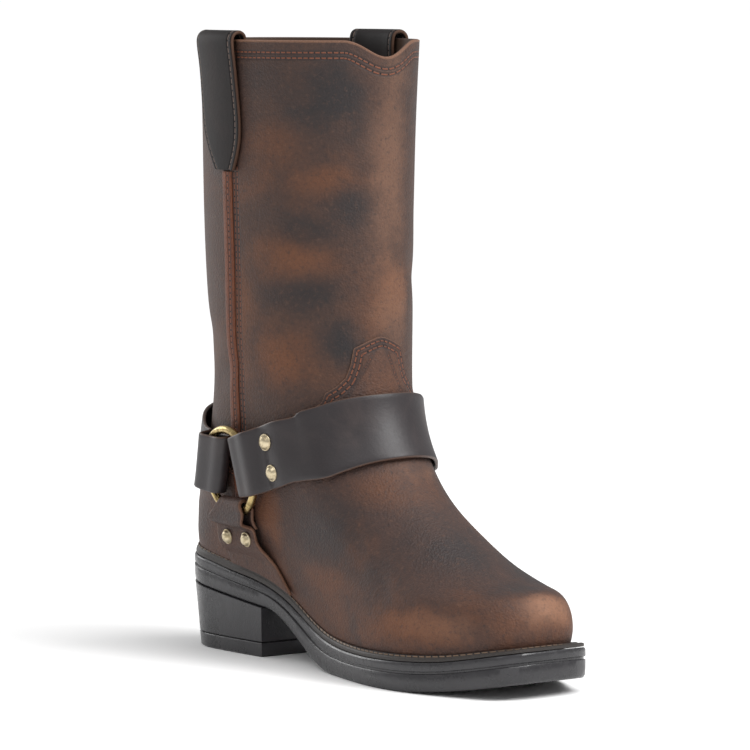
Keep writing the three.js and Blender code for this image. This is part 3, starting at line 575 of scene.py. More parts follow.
SHAFT_ROWS = (
    (0.56, 0.503, -0.58, -0.008, 0.915, 0.91, 0.9, 0.88, 0.23, 2.05, 0.22, 2.05),
    (0.645, 0.602, -0.36, -0.018, 0.925, 0.93, 0.93, 0.93, 0.228, 2.1, 0.224, 2.1),
    (0.756, 0.727, -0.22, -0.018, 0.94, 0.95, 0.96, 0.95, 0.232, 2.1, 0.228, 2.1),
    (0.878, 0.863, -0.12, -0.01, 0.95, 0.97, 0.98, 0.97, 0.237, 2.1, 0.234, 2.1),
    (1, 1, 0, 0.008, 0.97, 1, 1, 0.99, 0.244, 2.1, 0.24, 2.1),
)


def section_sizes(row):
    """A row of either table in millimetres, in the order of SECTION."""
    back = mix(SHAFT_CENTRE - SHAFT_DEPTH / 2, 0, row["back"])
    front = mix(SHAFT_CENTRE + SHAFT_DEPTH / 2, SOLE_LENGTH, row["front"])
    if "back_rise" in row:
        back_z = sole_top(back) + INSTEP_HEIGHT * row["back_rise"]
        front_z = sole_top(front) + INSTEP_HEIGHT * row["front_rise"]
    else:
        back_z = COLLAR_HEIGHT * row["back_height"]
        front_z = COLLAR_HEIGHT * row["front_height"]
    ends = [back, front, back_z, front_z, row.get("follow", 0), row.get("shaft", 1)]
    widths = [row[name] for name in ("heel", "waist", "ball", "toe")]
    nose = [row["nose"] * SOLE_LENGTH, row["nose_power"]]
    return [*ends, *widths, *nose, row["rear"] * SOLE_LENGTH, row["rear_power"]]


section_rows = [section_sizes(dict(zip(FOOT_COLUMNS, row))) for row in FOOT_ROWS]
section_rows += [section_sizes(dict(zip(SHAFT_COLUMNS, row))) for row in SHAFT_ROWS]
TOP_LEVEL = len(section_rows) - 1
section_at = curve_through(range(TOP_LEVEL + 1), section_rows)
width_shares = curve_through(np.array([0.126, 0.398, 0.689, 0.9]) * SOLE_LENGTH, np.eye(4))


def upper_form(level, turn):
    """The upper's outside: an oval between its back and front at that level, its half width the
    sole's turned into the shaft's, times the section's shares and the two ends' rounding. Its
    height goes from the back's to the front's and keeps a share of the sole's own line."""
    level, turn = np.broadcast_arrays(np.asarray(level, float), np.asarray(turn, float))
    back, front, back_z, front_z, follow, shaft, *rest = np.moveaxis(section_at(level), -1, 0)
    shares, (nose, nose_power, rear, rear_power) = np.stack(rest[:4], -1), rest[4:]
    way = way_of(turn)
    x = mix(back, front, way)
    base = mix(sole_half(side_of(turn), x), SHAFT_WIDTH / 2, shaft)
    share = (width_shares(x) * shares).sum(-1)
    ends = rounding((front - x) / nose, nose_power) * rounding((x - back) / rear, rear_power)
    y = side_of(turn) * base * share * ends
    chord = mix(sole_top(back), sole_top(front), way)
    line = follow * (sole_top(x) - chord) + mix(back_z, front_z, way)
    dip = np.cos(np.pi / 2 * np.clip(np.abs(y) / COLLAR_DIP_REACH, 0, 1)) ** 2
    dip = np.where(x > SHAFT_CENTRE, COLLAR_DIP * dip, 0)
    near_top = smooth((level - TOP_LEVEL + COLLAR_DIP_LEVELS) / COLLAR_DIP_LEVELS)
    return np.stack([x, y, line - dip * near_top], -1)


def unit(vectors):
    return vectors / np.maximum(np.linalg.norm(vectors, axis=-1, keepdims=True), 1e-12)


NEARBY = 0.02


def upper_normal(level, turn):
    """The way round the form crossed with the way up it, both from nearby points."""
    level, turn = np.broadcast_arrays(np.asarray(level, float), np.asarray(turn, float))
    low, high = np.maximum(level - NEARBY, 0), np.minimum(level + NEARBY, TOP_LEVEL)
    around = upper_form(level, turn + NEARBY) - upper_form(level, turn - NEARBY)
    normal = np.cross(around, upper_form(high, turn) - upper_form(low, turn))
    normal[..., 2] = np.where(level <= 0, 0, normal[..., 2])
    return unit(normal)


def turn_at_x(side, level, x):
    """The turn whose way from back to front gives x at that level."""
    back, front = section_at(level)[..., 0], section_at(level)[..., 1]
    turn = np.arccos(1 - 2 * np.clip((x - back) / (front - back), 0, 1)) / np.pi
    return np.where(side == OUTER, turn, 2 - turn)


def level_where(turn_at, height_at):
    """The level at which the form reaches a height, found by halving."""
    low = np.zeros(np.shape(turn_at(np.array(0.0))))
    high = low + TOP_LEVEL
    for _ in range(26):
        middle = (low + high) / 2
        point = upper_form(middle, turn_at(middle))
        below = point[..., 2] < height_at(point)
        low, high = np.where(below, middle, low), np.where(below, high, middle)
    return low


def side_place(side, x, z):
    """Level and turn of the place on a side at x and z."""
    x, z = np.broadcast_arrays(np.asarray(x, float), np.asarray(z, float))
    level = level_where(lambda at: turn_at_x(side, at + 0 * x, x), lambda point: z)
    return level, turn_at_x(side, level, x)


CREASES = (
    # side, first x and z, last x and z, width, depth
    (OUTER, 143, 226, 128, 205, 7, 1.0),
    (OUTER, 118, 300, 140, 262, 13, 1.2),
    (OUTER, 96, 246, 132, 236, 9, 0.7),
    (OUTER, 52, 150, 84, 168, 7, 0.8),
    (OUTER, 24, 186, 60, 176, 9, 0.9),
    (OUTER, 150, 320, 151, 232, 9, 0.4),
    (INNER, 40, 150, 84, 166, 7, 0.9),
    (INNER, 128, 205, 146, 224, 8, 0.9),
    (INNER, 84, 262, 130, 244, 11, 0.8),
    (OUTER, 196, 72, 212, 46, 6, 0.8),
    (OUTER, 176, 84, 190, 58, 6, 0.5),
    (INNER, 200, 66, 214, 44, 6, 0.8),
    (INNER, 182, 82, 194, 52, 6, 0.5),
)


def relief(points):
    """Soft troughs: for each crease its depth times a bell of the distance from its line, and
    fading out towards its two ends."""
    total = np.zeros(points.shape[:-1])
    for side, x0, z0, x1, z1, width, depth in CREASES:
        start, end = upper_form(*side_place(side, np.array([x0, x1]), np.array([z0, z1])))
        way = (end - start) / np.linalg.norm(end - start)
        half = np.linalg.norm(end - start) / 2
        off = points - (start + end) / 2
        along = off @ way
        aside = np.linalg.norm(off - along[..., None] * way, axis=-1)
        total -= depth * np.exp(-((aside / width) ** 2)) * smooth(1.5 - np.abs(along) / half)
    return total


def skin(level, turn, offset, sink=True):
    """A form parallel to the upper, with the creases; its lowest edge stands on the sole."""
    level, turn = np.broadcast_arrays(np.asarray(level, float), np.asarray(turn, float))
    points = upper_form(level, turn)
    push = offset + (relief(points) if sink else 0)
    points = points + upper_normal(level, turn) * np.broadcast_to(push, level.shape)[..., None]
    points[..., 2] = np.where(level <= 0, sole_top(points[..., 0]) + SEAT, points[..., 2])
    return points


def line_run(line):
    """Running length along a line of points."""
    return np.concatenate([[0], np.cumsum(np.linalg.norm(np.diff(line, axis=0), axis=1))])


def from_lines(points, lines):
    """For each point the run along the nearest line, and the distance from that line."""
    flat = points.reshape(-1, 3)
    best = np.full(len(flat), 1e9)
    run = np.zeros(len(flat))
    for line in lines:
        runs = line_run(line)
        for part in np.array_split(np.arange(len(flat)), max(len(flat) // 4000, 1)):
            away = np.linalg.norm(flat[part, None] - line[None], axis=-1)
            nearest = away.argmin(1)
            distance = away[np.arange(len(part)), nearest]
            closer = distance < best[part]
            best[part] = np.where(closer, distance, best[part])
            run[part] = np.where(closer, runs[nearest], run[part])
    return np.stack([run, best], -1)


SEAM = np.array([
    # z, x
    [0, 69], [92, 69], [104, 69.6], [130, 72.9], [160, 75.6], [199, 77], [270, 76.2], [345, 75.5],
])
seam_curve = curve_through(SEAM[:, 0], SEAM[:, 1])
INNER_SEAM_SHIFT = 14
INNER_SEAM_FROM = 150
INNER_SEAM_TO = 260
SEAM_FOOT = 30


def seam_x(side, z):
    """The seam's curve; on the inner side it moves forward up the shaft."""
    share = (z - INNER_SEAM_FROM) / (INNER_SEAM_TO - INNER_SEAM_FROM)
    return seam_curve(z) + np.where(side == INNER, INNER_SEAM_SHIFT * smooth(share), 0)


def seam_line(side, shift):
    """Levels and turns up the side seam, moved along the boot by a shift."""
    z = np.linspace(SEAM_FOOT, COLLAR_HEIGHT, 420)
    return side_place(side, seam_x(side, z) + shift, z)


# UNSEWN is a distance from the edge at which no row of stitches lies, for faces that have none,
# and NO_ROWS is a row beyond every edge, for straps that have none.
UNSEWN = 60.0
NO_ROWS = (90,)
FOOT_TOP_LEVEL = 13
RIM_CROWN = 0.45
COLLAR_BAND = 24
SKIN_TURNS = np.arange(248) / 124
foot_levels = np.linspace(WELT_LEVEL, FOOT_TOP_LEVEL, 62)
skin_levels = np.concatenate([[0], foot_levels, np.linspace(FOOT_TOP_LEVEL, TOP_LEVEL, 70)[1:]])
outside = skin(skin_levels[:, None], SKIN_TURNS[None, :], 0)
inside = skin(skin_levels[:, None], SKIN_TURNS[None, :], -WALL)
rim = (outside[-1] + inside[-1]) / 2 + [0, 0, RIM_CROWN]
shell = np.concatenate([outside, rim[None], inside[::-1]])
collar_line = skin(TOP_LEVEL, np.linspace(0, 2, 2400), 0)
seam_lines = [skin(*seam_line(side, 0), 0) for side in (OUTER, INNER)]
stitch_map = from_lines(outside, [collar_line, *seam_lines])
wall_side = np.where(outside[..., 1] < 0, OUTER, INNER).ravel()
behind = outside[..., 0].ravel() < seam_x(wall_side, outside[..., 2].ravel())
below_collar = np.abs(outside[..., 2].ravel() - COLLAR_HEIGHT) > COLLAR_BAND
stitch_map[behind & below_collar, 1] = UNSEWN
rim_map = np.zeros((len(SKIN_TURNS), 2))
lining_map = np.full((len(skin_levels) * len(SKIN_TURNS), 2), UNSEWN)
faces = quads(len(shell), len(SKIN_TURNS), wrap_rows=True)
upper = make_piece(
    "shaft_and_foot", shell, faces, np.concatenate([stitch_map, rim_map, lining_map])
)


def stitched(finish, layer, rows, pitch=3.4, half_width=0.55):
    """Masks of thread, of its needle holes and of the groove about it, the last two for dents and
    for
    painted shade: bands at some distances from an edge, the thread broken into dashes along the
    run.
    The UV map holds run and distance, in metres."""
    uv = finish.node("ShaderNodeUVMap", {"uv_map": layer})
    run = finish.node("ShaderNodeSeparateXYZ", None, {0: uv}, output=0) * 1000
    away = finish.node("ShaderNodeSeparateXYZ", None, {0: uv}, output=1) * 1000
    beside = None
    for distance in rows:
        gap = (away - distance).size()
        beside = gap if beside is None else beside.sum("MINIMUM", beside, gap)
    dash = ((run / pitch).fraction() - 0.5).size()
    thread = finish.ramp(beside, half_width, half_width * 0.5) * finish.ramp(dash, 0.42, 0.34)
    hole = finish.ramp(beside, half_width * 1.4, half_width * 0.3) * finish.ramp(dash, 0.38, 0.47)
    groove = finish.ramp(beside, half_width * 3.4, half_width)
    return thread, hole, groove, away


# Painted shade: a near black put where the needle holes are, for the shade inside them.
NEEDLE_HOLE_SHADE = (0.008, 0.006, 0.005, 1)


def oiled_leather(name, base, rust, spots, rows, edge, edge_light=0.5, vee=None):
    """Oiled, distressed hide: a brown ground with soft clouds and spots of rust and charcoal,
    painted highlights of tan over some spots, a fine speckle and grain, rubbed pale within edge of
    its cut edges, and rows of thread with their needle holes, with painted shade in the holes and
    in the grooves beside the rows. A second map, vee, holds one more row."""
    finish = Finish(name)
    rust_spots, dark_spots, highlight_spots = spots
    cloud = finish.noise(13, 4, 0.55, 0.6)
    patch = finish.noise(27, 4, 0.6, 0.4)
    fine = finish.noise(420, 4, 0.7)
    pebble = finish.cells(850)
    rusty = finish.ramp(cloud, 0.5, 0.72) * 0.55
    murky = finish.ramp(patch, 0.54, 0.74) * 0.45
    if rust_spots:
        rusty = finish.spots(rust_spots, rusty)
    if dark_spots:
        murky = finish.spots(dark_spots, murky)
    tone = finish.blend(rusty * (0.5 + patch * 0.9), base, rust)
    tone = finish.blend(murky * (0.6 + cloud * 0.8), tone, CHARCOAL)
    # Painted highlights: tan laid over the given spots.
    if highlight_spots:
        tone = finish.blend(finish.spots(highlight_spots) * (0.4 + patch), tone, TAN)
    tone = finish.blend(finish.ramp(fine, 0.52, 0.8) * 0.2, tone, TAN)
    tone = finish.blend(finish.ramp(fine, 0.48, 0.26) * 0.6, tone, CHARCOAL)
    tone = finish.blend(finish.ramp(pebble, 0.5, 0.85) * 0.15, tone, CHARCOAL)
    height = pebble * 0.6 + fine * 0.8 + patch * 0.5
    normal = finish.bump(height, 0.0008, 0.6)
    rough = 0.5 + cloud * 0.16 - murky * 0.1 + fine * 0.1
    thread, hole, groove, away = stitched(finish, "stitch", rows)
    tone = finish.blend(finish.ramp(away, edge, edge * 0.3) * edge_light, tone, TAN)
    # Painted shade: the groove beside each row darkened towards charcoal, and the needle holes
    # nearly black.
    tone = finish.blend(groove * 0.6, tone, CHARCOAL)
    tone = finish.blend(thread * 0.85, tone, RUST_THREAD)
    tone = finish.blend(hole * 0.9, tone, NEEDLE_HOLE_SHADE)
    normal = finish.bump(thread * 0.6 - groove * 0.7 - hole * 0.6, 0.0005, 0.9, normal)
    if vee:
        thread, hole, groove, _ = stitched(finish, vee, (0,))
        # Painted shade in the V's groove and needle holes, as above.
        tone = finish.blend(groove * 0.4, tone, CHARCOAL)
        tone = finish.blend(thread * 0.85, tone, RUST_THREAD)
        tone = finish.blend(hole * 0.9, tone, NEEDLE_HOLE_SHADE)
        normal = finish.bump(thread * 0.6 - groove * 0.7, 0.0005, 0.9, normal)
    return finish.surface(
        Base_Color=tone, Roughness=rough, Specular_IOR_Level=0.35, Normal=normal
    )


HIDE = (0.056, 0.029, 0.021, 1)
RUST = (0.135, 0.05, 0.021, 1)
CHARCOAL = (0.017, 0.014, 0.015, 1)
TAN = (0.27, 0.135, 0.08, 1)
RUST_THREAD = (0.19, 0.062, 0.03, 1)
SHAFT_RUST = (
    # middle, reach, strength
    ((0.100, -0.030, 0.266), (0.030, 0.030, 0.014), 0.8),
    ((0.082, -0.042, 0.224), (0.035, 0.03, 0.02), 0.85),
    ((0.076, -0.046, 0.170), (0.035, 0.03, 0.024), 0.9),
    ((0.042, -0.052, 0.185), (0.018, 0.02, 0.06), 0.8),
    ((0.070, -0.046, 0.286), (0.03, 0.03, 0.016), 0.5),
    ((0.112, 0.006, 0.210), (0.03, 0.02, 0.022), 0.7),
    ((0.040, 0.050, 0.200), (0.05, 0.03, 0.05), 0.7),
    ((-0.020, 0.0, 0.230), (0.03, 0.05, 0.04), 0.7),
)
SHAFT_DARK = (
    ((0.100, -0.029, 0.312), (0.036, 0.034, 0.034), 0.95),
    ((0.107, -0.020, 0.254), (0.026, 0.022, 0.018), 0.9),
    ((0.091, -0.036, 0.240), (0.03, 0.03, 0.013), 0.75),
    ((0.088, -0.038, 0.205), (0.034, 0.03, 0.015), 0.85),
    ((0.104, -0.025, 0.180), (0.02, 0.018, 0.02), 0.95),
    ((0.060, -0.048, 0.322), (0.03, 0.03, 0.016), 0.45),
    ((0.060, 0.050, 0.290), (0.05, 0.03, 0.04), 0.8),
    ((-0.025, 0.01, 0.150), (0.03, 0.05, 0.03), 0.7),
)
# Painted highlights: a pale tan band down the front of the shaft, where the light turns round it.
SHAFT_PAINTED_HIGHLIGHT = (
    ((0.113, 0.004, 0.275), (0.014, 0.02, 0.085), 0.4),
    ((0.112, 0.006, 0.205), (0.014, 0.02, 0.05), 0.35),
)
upper_leather = oiled_leather(
    "upper_leather", HIDE, RUST, (SHAFT_RUST, SHAFT_DARK, SHAFT_PAINTED_HIGHLIGHT), (6.2, 9.2), 1.2
)

lining_finish = Finish("lining_leather")
lining_cloud = lining_finish.noise(30, 4)
lining_fine = lining_finish.noise(600, 3, 0.7)
lining_tone = lining_finish.blend(lining_cloud, (0.05, 0.028, 0.02, 1), (0.12, 0.07, 0.045, 1))
lining_leather = lining_finish.surface(
    Base_Color=lining_finish.blend(lining_fine * 0.3, lining_tone, (0.03, 0.02, 0.015, 1)),
    Roughness=0.75,
    Normal=lining_finish.bump(lining_fine, 0.0002, 0.5),
)
upper.data.materials.append(upper_leather)
upper.data.materials.append(lining_leather)
lining_rows = np.arange(len(faces)) // len(SKIN_TURNS) > len(skin_levels)
upper.data.polygons.foreach_set("material_index", lining_rows.astype(int))
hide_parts("upper")

# The insole is a board of pale brown leather fibre that lies on the sole inside the upper.
INSOLE_THICKNESS = 3
plan = skin(0, SKIN_TURNS, -WALL - GAP, sink=False)
insole = stacked("insole_board", [plan, plan + [0, 0, INSOLE_THICKNESS]])
insole_finish = Finish("insole_board")
insole_fibre = insole_finish.noise(340, 5, 0.7)
insole.data.materials.append(insole_finish.surface(
    Base_Color=insole_finish.blend(insole_fibre, (0.2, 0.12, 0.07, 1), (0.3, 0.19, 0.11, 1)),
    Roughness=0.85,
    Normal=insole_finish.bump(insole_fibre, 0.0003, 0.5),
))
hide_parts("insole")

# The vamp is the overlay of the forefoot, sewn over the shaft with a pointed tongue on its front.
# Two rows of stitches follow its cut edge, and two more run down from the peak in a V.
SKIN_GAP = 0.95
OVERLAY = 1.1
EDGE_LIFT = 1.15
EDGE_FADE = 14
EDGE_ROUND = 0.9
BACK_LIFT = 0.12
SEAM_HALF = 4.5
TONGUE_SHIFT = -3
TONGUE_FROM = SHAFT_CENTRE + 20
VAMP_EDGE = np.array([[74.4, 104], [77, 112], [98, 121], [125, 135], [140, 147]])
TONGUE = np.array([
    # half width, z
    [0, 182], [3, 181.4], [7, 179.9], [14.9, 176], [15.6, 172], [16.4, 167.5], [18.8, 160],
    [23, 155], [27, 151.5], [28.5, 146],
])


def seam_turns(side, shift):
    """The seam's turn at a level, from places up the seam."""
    levels, turns = seam_line(side, shift)
    order = np.argsort(levels)
    return lambda level: np.interp(level, levels[order], turns[order])


def vamp_top(points):
    """The higher of the side edge at x and of the tongue's outline at y."""
    sides = np.interp(points[..., 0], VAMP_EDGE[:, 0], VAMP_EDGE[:, 1])
    across = np.abs(points[..., 1] - TONGUE_SHIFT)
    tongue = np.interp(across, TONGUE[:, 0], TONGUE[:, 1], right=0)
    return np.where(points[..., 0] > TONGUE_FROM, np.maximum(sides, tongue), sides)


def densified(line, step=0.4):
    """The same line with a point every step along it."""
    runs = line_run(line)
    wanted = np.arange(0, runs[-1], step)
    return np.stack([np.interp(wanted, runs, line[:, k]) for k in range(3)], -1)


def overlay_patch(name, turn_at, top_at, columns, rows):
    """A patch over the upper between two turns and from the welt up to a top edge. Its face
    stands over the upper by the overlay, less towards the edge, which is rounded over as a
    quarter circle. Gives the piece and its face's points."""
    u = np.linspace(0, 1, columns)
    top = level_where(lambda level: turn_at(u, level + 0 * u), top_at)
    v = 1 - (1 - np.linspace(0, 1, rows)) ** 1.35
    level = mix(WELT_LEVEL, top[None, :], v[:, None])
    level = np.concatenate([np.zeros((1, columns)), level])
    turn = turn_at(u[None, :], level)
    ground = skin(level, turn, 0)
    edges = [ground[-1], ground[1:, 0], ground[1:, -1]]
    away = from_lines(ground, [densified(edge) for edge in edges])[:, 1].reshape(level.shape)
    lip = np.sqrt(np.clip(1 - (1 - np.clip(away / EDGE_ROUND, 0, 1)) ** 2, 0, 1))
    over = mix(EDGE_LIFT, SKIN_GAP + OVERLAY, smooth(away / EDGE_FADE)) * mix(0.35, 1, lip)
    face = skin(level, turn, over)
    back = skin(level, turn, BACK_LIFT)
    count = level.size
    front_faces = quads(rows + 1, columns, wrap_columns=False)
    rim_index = np.concatenate([
        np.arange(columns),
        np.arange(1, rows + 1) * columns + columns - 1,
        rows * columns + np.arange(columns - 2, -1, -1),
        np.arange(rows - 1, 0, -1) * columns,
    ])
    after = np.roll(rim_index, -1)
    rim = np.stack([rim_index, rim_index + count, after + count, after], -1)
    faces = np.concatenate([front_faces, front_faces[:, ::-1] + count, rim])
    uv = from_lines(face, [densified(face[-1])])
    uv = np.concatenate([uv, np.full((count, 2), UNSEWN)])
    return make_piece(name, np.stack([face, back]), faces, uv), face


vamp_start = seam_turns(OUTER, SEAM_HALF + GAP)
vamp_end = seam_turns(INNER, SEAM_HALF + GAP)
vamp, vamp_face = overlay_patch(
    "vamp_overlay", lambda u, level: mix(vamp_start(level), vamp_end(level), u), vamp_top,
    columns=300, rows=130,
)
VEE_FEET = (-24, 16)
VEE_FOOT_HEIGHT = 140
FRONT_REACH = 165
VEE_LIFT = 2


def vee_line(peak, foot_y):
    """A leg of the V: straight from the peak, seen from the front. Each turn is mended by its
    point's miss in y, over the y that a whole turn is worth there."""
    share = np.linspace(0.06, 1, 60)
    y = mix(peak[1], foot_y + TONGUE_SHIFT, share)
    z = mix(peak[2], VEE_FOOT_HEIGHT, share)
    turn = 1 - y / FRONT_REACH
    for _ in range(12):
        level = level_where(lambda at: turn + 0 * at, lambda point: z)
        turn = turn - (upper_form(level, turn)[:, 1] - y) / FRONT_REACH
    return skin(level, turn, VEE_LIFT)


peak = vamp_face[-1][np.argmax(vamp_face[-1][:, 2])]
vee_map = from_lines(vamp_face, [vee_line(peak, foot_y) for foot_y in VEE_FEET])
lay_map(vamp.data, "vee", np.concatenate([vee_map, np.full(vee_map.shape, UNSEWN)]))

VAMP_RUST = (
    ((0.187, -0.040, 0.034), (0.07, 0.03, 0.016), 0.95),
    ((0.056, -0.042, 0.080), (0.02, 0.03, 0.025), 0.9),
    ((0.205, -0.022, 0.044), (0.03, 0.02, 0.014), 0.7),
    ((0.130, -0.012, 0.100), (0.03, 0.03, 0.016), 0.6),
    ((0.112, 0.000, 0.160), (0.02, 0.03, 0.03), 0.5),
    ((0.240, 0.008, 0.040), (0.02, 0.05, 0.02), 0.8),
    ((0.110, -0.044, 0.050), (0.04, 0.02, 0.014), 0.7),
    ((0.150, 0.045, 0.045), (0.08, 0.03, 0.02), 0.8),
)
VAMP_DARK = (
    ((0.114, -0.038, 0.080), (0.04, 0.03, 0.026), 0.7),
    ((0.185, -0.010, 0.072), (0.05, 0.03, 0.02), 0.8),
    ((0.228, 0.002, 0.060), (0.018, 0.03, 0.010), 0.95),
    ((0.232, -0.010, 0.046), (0.006, 0.008, 0.018), 0.7),
    ((0.150, -0.030, 0.058), (0.03, 0.02, 0.012), 0.6),
    ((0.205, 0.030, 0.060), (0.04, 0.03, 0.02), 0.8),
)
# Painted highlights of pale tan: the toe's, and two faint ones, low on the outer forefoot and on
# the instep.
VAMP_PAINTED_HIGHLIGHT = (
    ((0.244, 0.010, 0.046), (0.012, 0.026, 0.012), 0.75),
    ((0.206, -0.036, 0.036), (0.05, 0.016, 0.010), 0.3),
    ((0.124, 0.000, 0.108), (0.02, 0.02, 0.012), 0.3),
)
vamp.data.materials.append(oiled_leather(
    "vamp_leather", (0.052, 0.028, 0.022, 1), RUST, (VAMP_RUST, VAMP_DARK, VAMP_PAINTED_HIGHLIGHT), (2.2, 5.0),
    0.8, edge_light=0.3, vee="vee",
))
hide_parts("vamp")

# The counter is the stiffened overlay round the heel, cut from the same hide. It ends at the side
# seams, and its top edge lies under the heel strap.
COUNTER_EDGE = np.array([[-20, 123], [25, 121], [45, 112], [64.8, 104]])
FULL_ROUND = 2
counter_start = seam_turns(OUTER, -SEAM_HALF - GAP)
counter_end = seam_turns(INNER, -SEAM_HALF - GAP)
counter, _ = overlay_patch(
    "heel_counter",
    lambda u, level: mix(counter_end(level) - FULL_ROUND, counter_start(level), u),
    lambda points: np.interp(points[..., 0], COUNTER_EDGE[:, 0], COUNTER_EDGE[:, 1]),
    columns=180, rows=90,
)
COUNTER_RUST = (
    ((0.02, -0.04, 0.07), (0.03, 0.03, 0.02), 0.6),
    ((-0.03, 0.0, 0.08), (0.03, 0.04, 0.02), 0.7),
)
COUNTER_DARK = (((-0.02, -0.03, 0.075), (0.02, 0.03, 0.02), 0.6),)
counter.data.materials.append(oiled_leather(
    "counter_leather", (0.078, 0.042, 0.032, 1), RUST, (COUNTER_RUST, COUNTER_DARK, ()), (2.2,), 1
))
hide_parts("counter")

# The side seams are covered by raised strips of rust brown leather, sewn down from the foot to
# under the pull straps.
PULL_STRAP_DROP = 71
SEAM_EDGE = 0.35
SEAM_CROWN = 1.35
seam_leather = oiled_leather(
    "seam_leather", (0.125, 0.034, 0.012, 1), (0.16, 0.048, 0.018, 1), ((), (), ()), (2.6,), 0.7,
    edge_light=0.1,
)


def seam_strip(side, name):
    """A narrow band along the seam, crowned by half an ellipse over its width."""
    z = np.linspace(sole_top(SEAM[0, 1]) + 3, COLLAR_HEIGHT - PULL_STRAP_DROP - 1, 260)
    share = np.linspace(-1, 1, 13)
    x = seam_x(side, z)[:, None] + share[None, :] * SEAM_HALF
    level, turn = side_place(side, x, z[:, None])
    over = SEAM_EDGE + SEAM_CROWN * np.sqrt(1 - (share * 0.97) ** 2)
    face = skin(level, turn, np.broadcast_to(over, level.shape))
    back = skin(level, turn, BACK_LIFT)
    loop = np.concatenate([face, back[:, ::-1]], 1)
    run = np.broadcast_to((z - z[0])[:, None], level.shape)
    edge = np.broadcast_to((1 - share)[None, :] * SEAM_HALF, level.shape)
    uv = np.stack([run, edge], -1)
    uv = np.concatenate([uv, np.full(uv.shape, UNSEWN)], 1)
    return stacked(name, list(loop), uv)


for side, word in SIDES:
    strip = seam_strip(side, f"seam_cover_{word}")
    strip.data.materials.append(seam_leather)
    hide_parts(f"seam_strip_{word}")

# The welt is a flat strip of dark leather all round, sewn through to the sole with a coarse light
# thread, its inner edge turned up against the upper.
WELT_INSET = 0.8
WELT_EDGE = 1.6
WELT_CROWN = 0.9
WELT_GROOVE = 0.7
WELT_GROOVE_AT = 0.42
WELT_GROOVE_WIDTH = 0.16
WELT_FIT = SKIN_GAP + OVERLAY + GAP
welt_turns = np.arange(360) / 180


def welt_ring(lift, inset):
    return sole_ring(
        welt_turns, inset, SOLE_LENGTH - inset, lambda x: sole_top(x) + lift, inset, inset
    )


welt_outer = welt_ring(SEAT + WELT_EDGE, WELT_INSET)
welt_inner = skin(WELT_LEVEL, welt_turns, WELT_FIT, sink=False)
welt_rows = [welt_ring(SEAT, WELT_INSET), welt_ring(SEAT + WELT_EDGE * 0.7, WELT_INSET - 0.1)]
welt_shares = np.linspace(0, 1, 15)
for share in welt_shares:
    row = mix(welt_outer, welt_inner, share)
    groove = np.exp(-(((share - WELT_GROOVE_AT) / WELT_GROOVE_WIDTH) ** 2))
    row[:, 2] += WELT_CROWN * math.sin(math.pi * share) - WELT_GROOVE * groove
    welt_rows.append(row)
welt_rows.append(skin(0, welt_turns, WELT_FIT, sink=False))
welt_run = np.concatenate([line_run(welt_outer), [0]])[: len(welt_turns)]
welt_width = np.linalg.norm(welt_inner - welt_outer, axis=1)
welt_uv = [np.stack([welt_run, 0 * welt_run + UNSEWN], -1)] * 2
welt_uv += [np.stack([welt_run, share * welt_width], -1) for share in welt_shares]
welt_uv += [welt_uv[0]]
faces = quads(len(welt_rows), len(welt_turns), wrap_rows=True)
welt = make_piece(
    "stitched_welt", np.concatenate(welt_rows), faces, np.concatenate(welt_uv), sharp=50
)
welt_finish = Finish("welt_leather")
welt_thread, welt_hole, _, _ = stitched(welt_finish, "stitch", (2.6,), pitch=4.4, half_width=0.8)
welt_fine = welt_finish.noise(500, 3, 0.7)
welt_tone = welt_finish.blend(welt_fine, (0.01, 0.008, 0.007, 1), (0.03, 0.022, 0.018, 1))
welt_tone = welt_finish.blend(welt_thread * 0.9, welt_tone, (0.2, 0.13, 0.085, 1))
# Painted shade: the needle holes are darkened almost to black.
welt.data.materials.append(welt_finish.surface(
    Base_Color=welt_finish.blend(welt_hole * 0.8, welt_tone, (0.003, 0.003, 0.003, 1)),
    Roughness=0.42 + welt_fine * 0.2,
    Normal=welt_finish.bump(welt_thread * 1.5 + welt_fine * 0.3 - welt_hole, 0.0007, 0.9),
))
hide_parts("welt")

# The pull straps are loops of smooth dark leather over the collar, one on each side, with a
# tapered outer end, and sewn down by a row of stitches inside each edge.
STRAP = 2.2
STRAP_GAP = 0.55
STRAP_ROWS = 150
BELT_ROWS = 330
RIBBON_COLUMNS = 17
PULL_STRAP_WIDTH = 41
PULL_LOOP_RISE = 3.3
PULL_STRAP = np.array([
    # drop, x, half width
    [0, 69, 0.5], [27, 70, 0.5], [46, 71.7, 0.485], [55, 73.2, 0.43], [71, 75.8, 0.227],
])
PULL_LIFT = np.array([
    # drop, lift
    [71, 1.8], [55, 1.85], [40, 1.95], [24, 2.3], [10, 3.1], [2, 3.75],
])
PULL_ARCH_LIFT = -0.75
PULL_ARCH_RADIUS = 4.45
PULL_INNER_DROPS = (22, 40, 55)


def row_lengths(rows):
    return np.linalg.norm(np.diff(rows, axis=1), axis=2).sum(1)


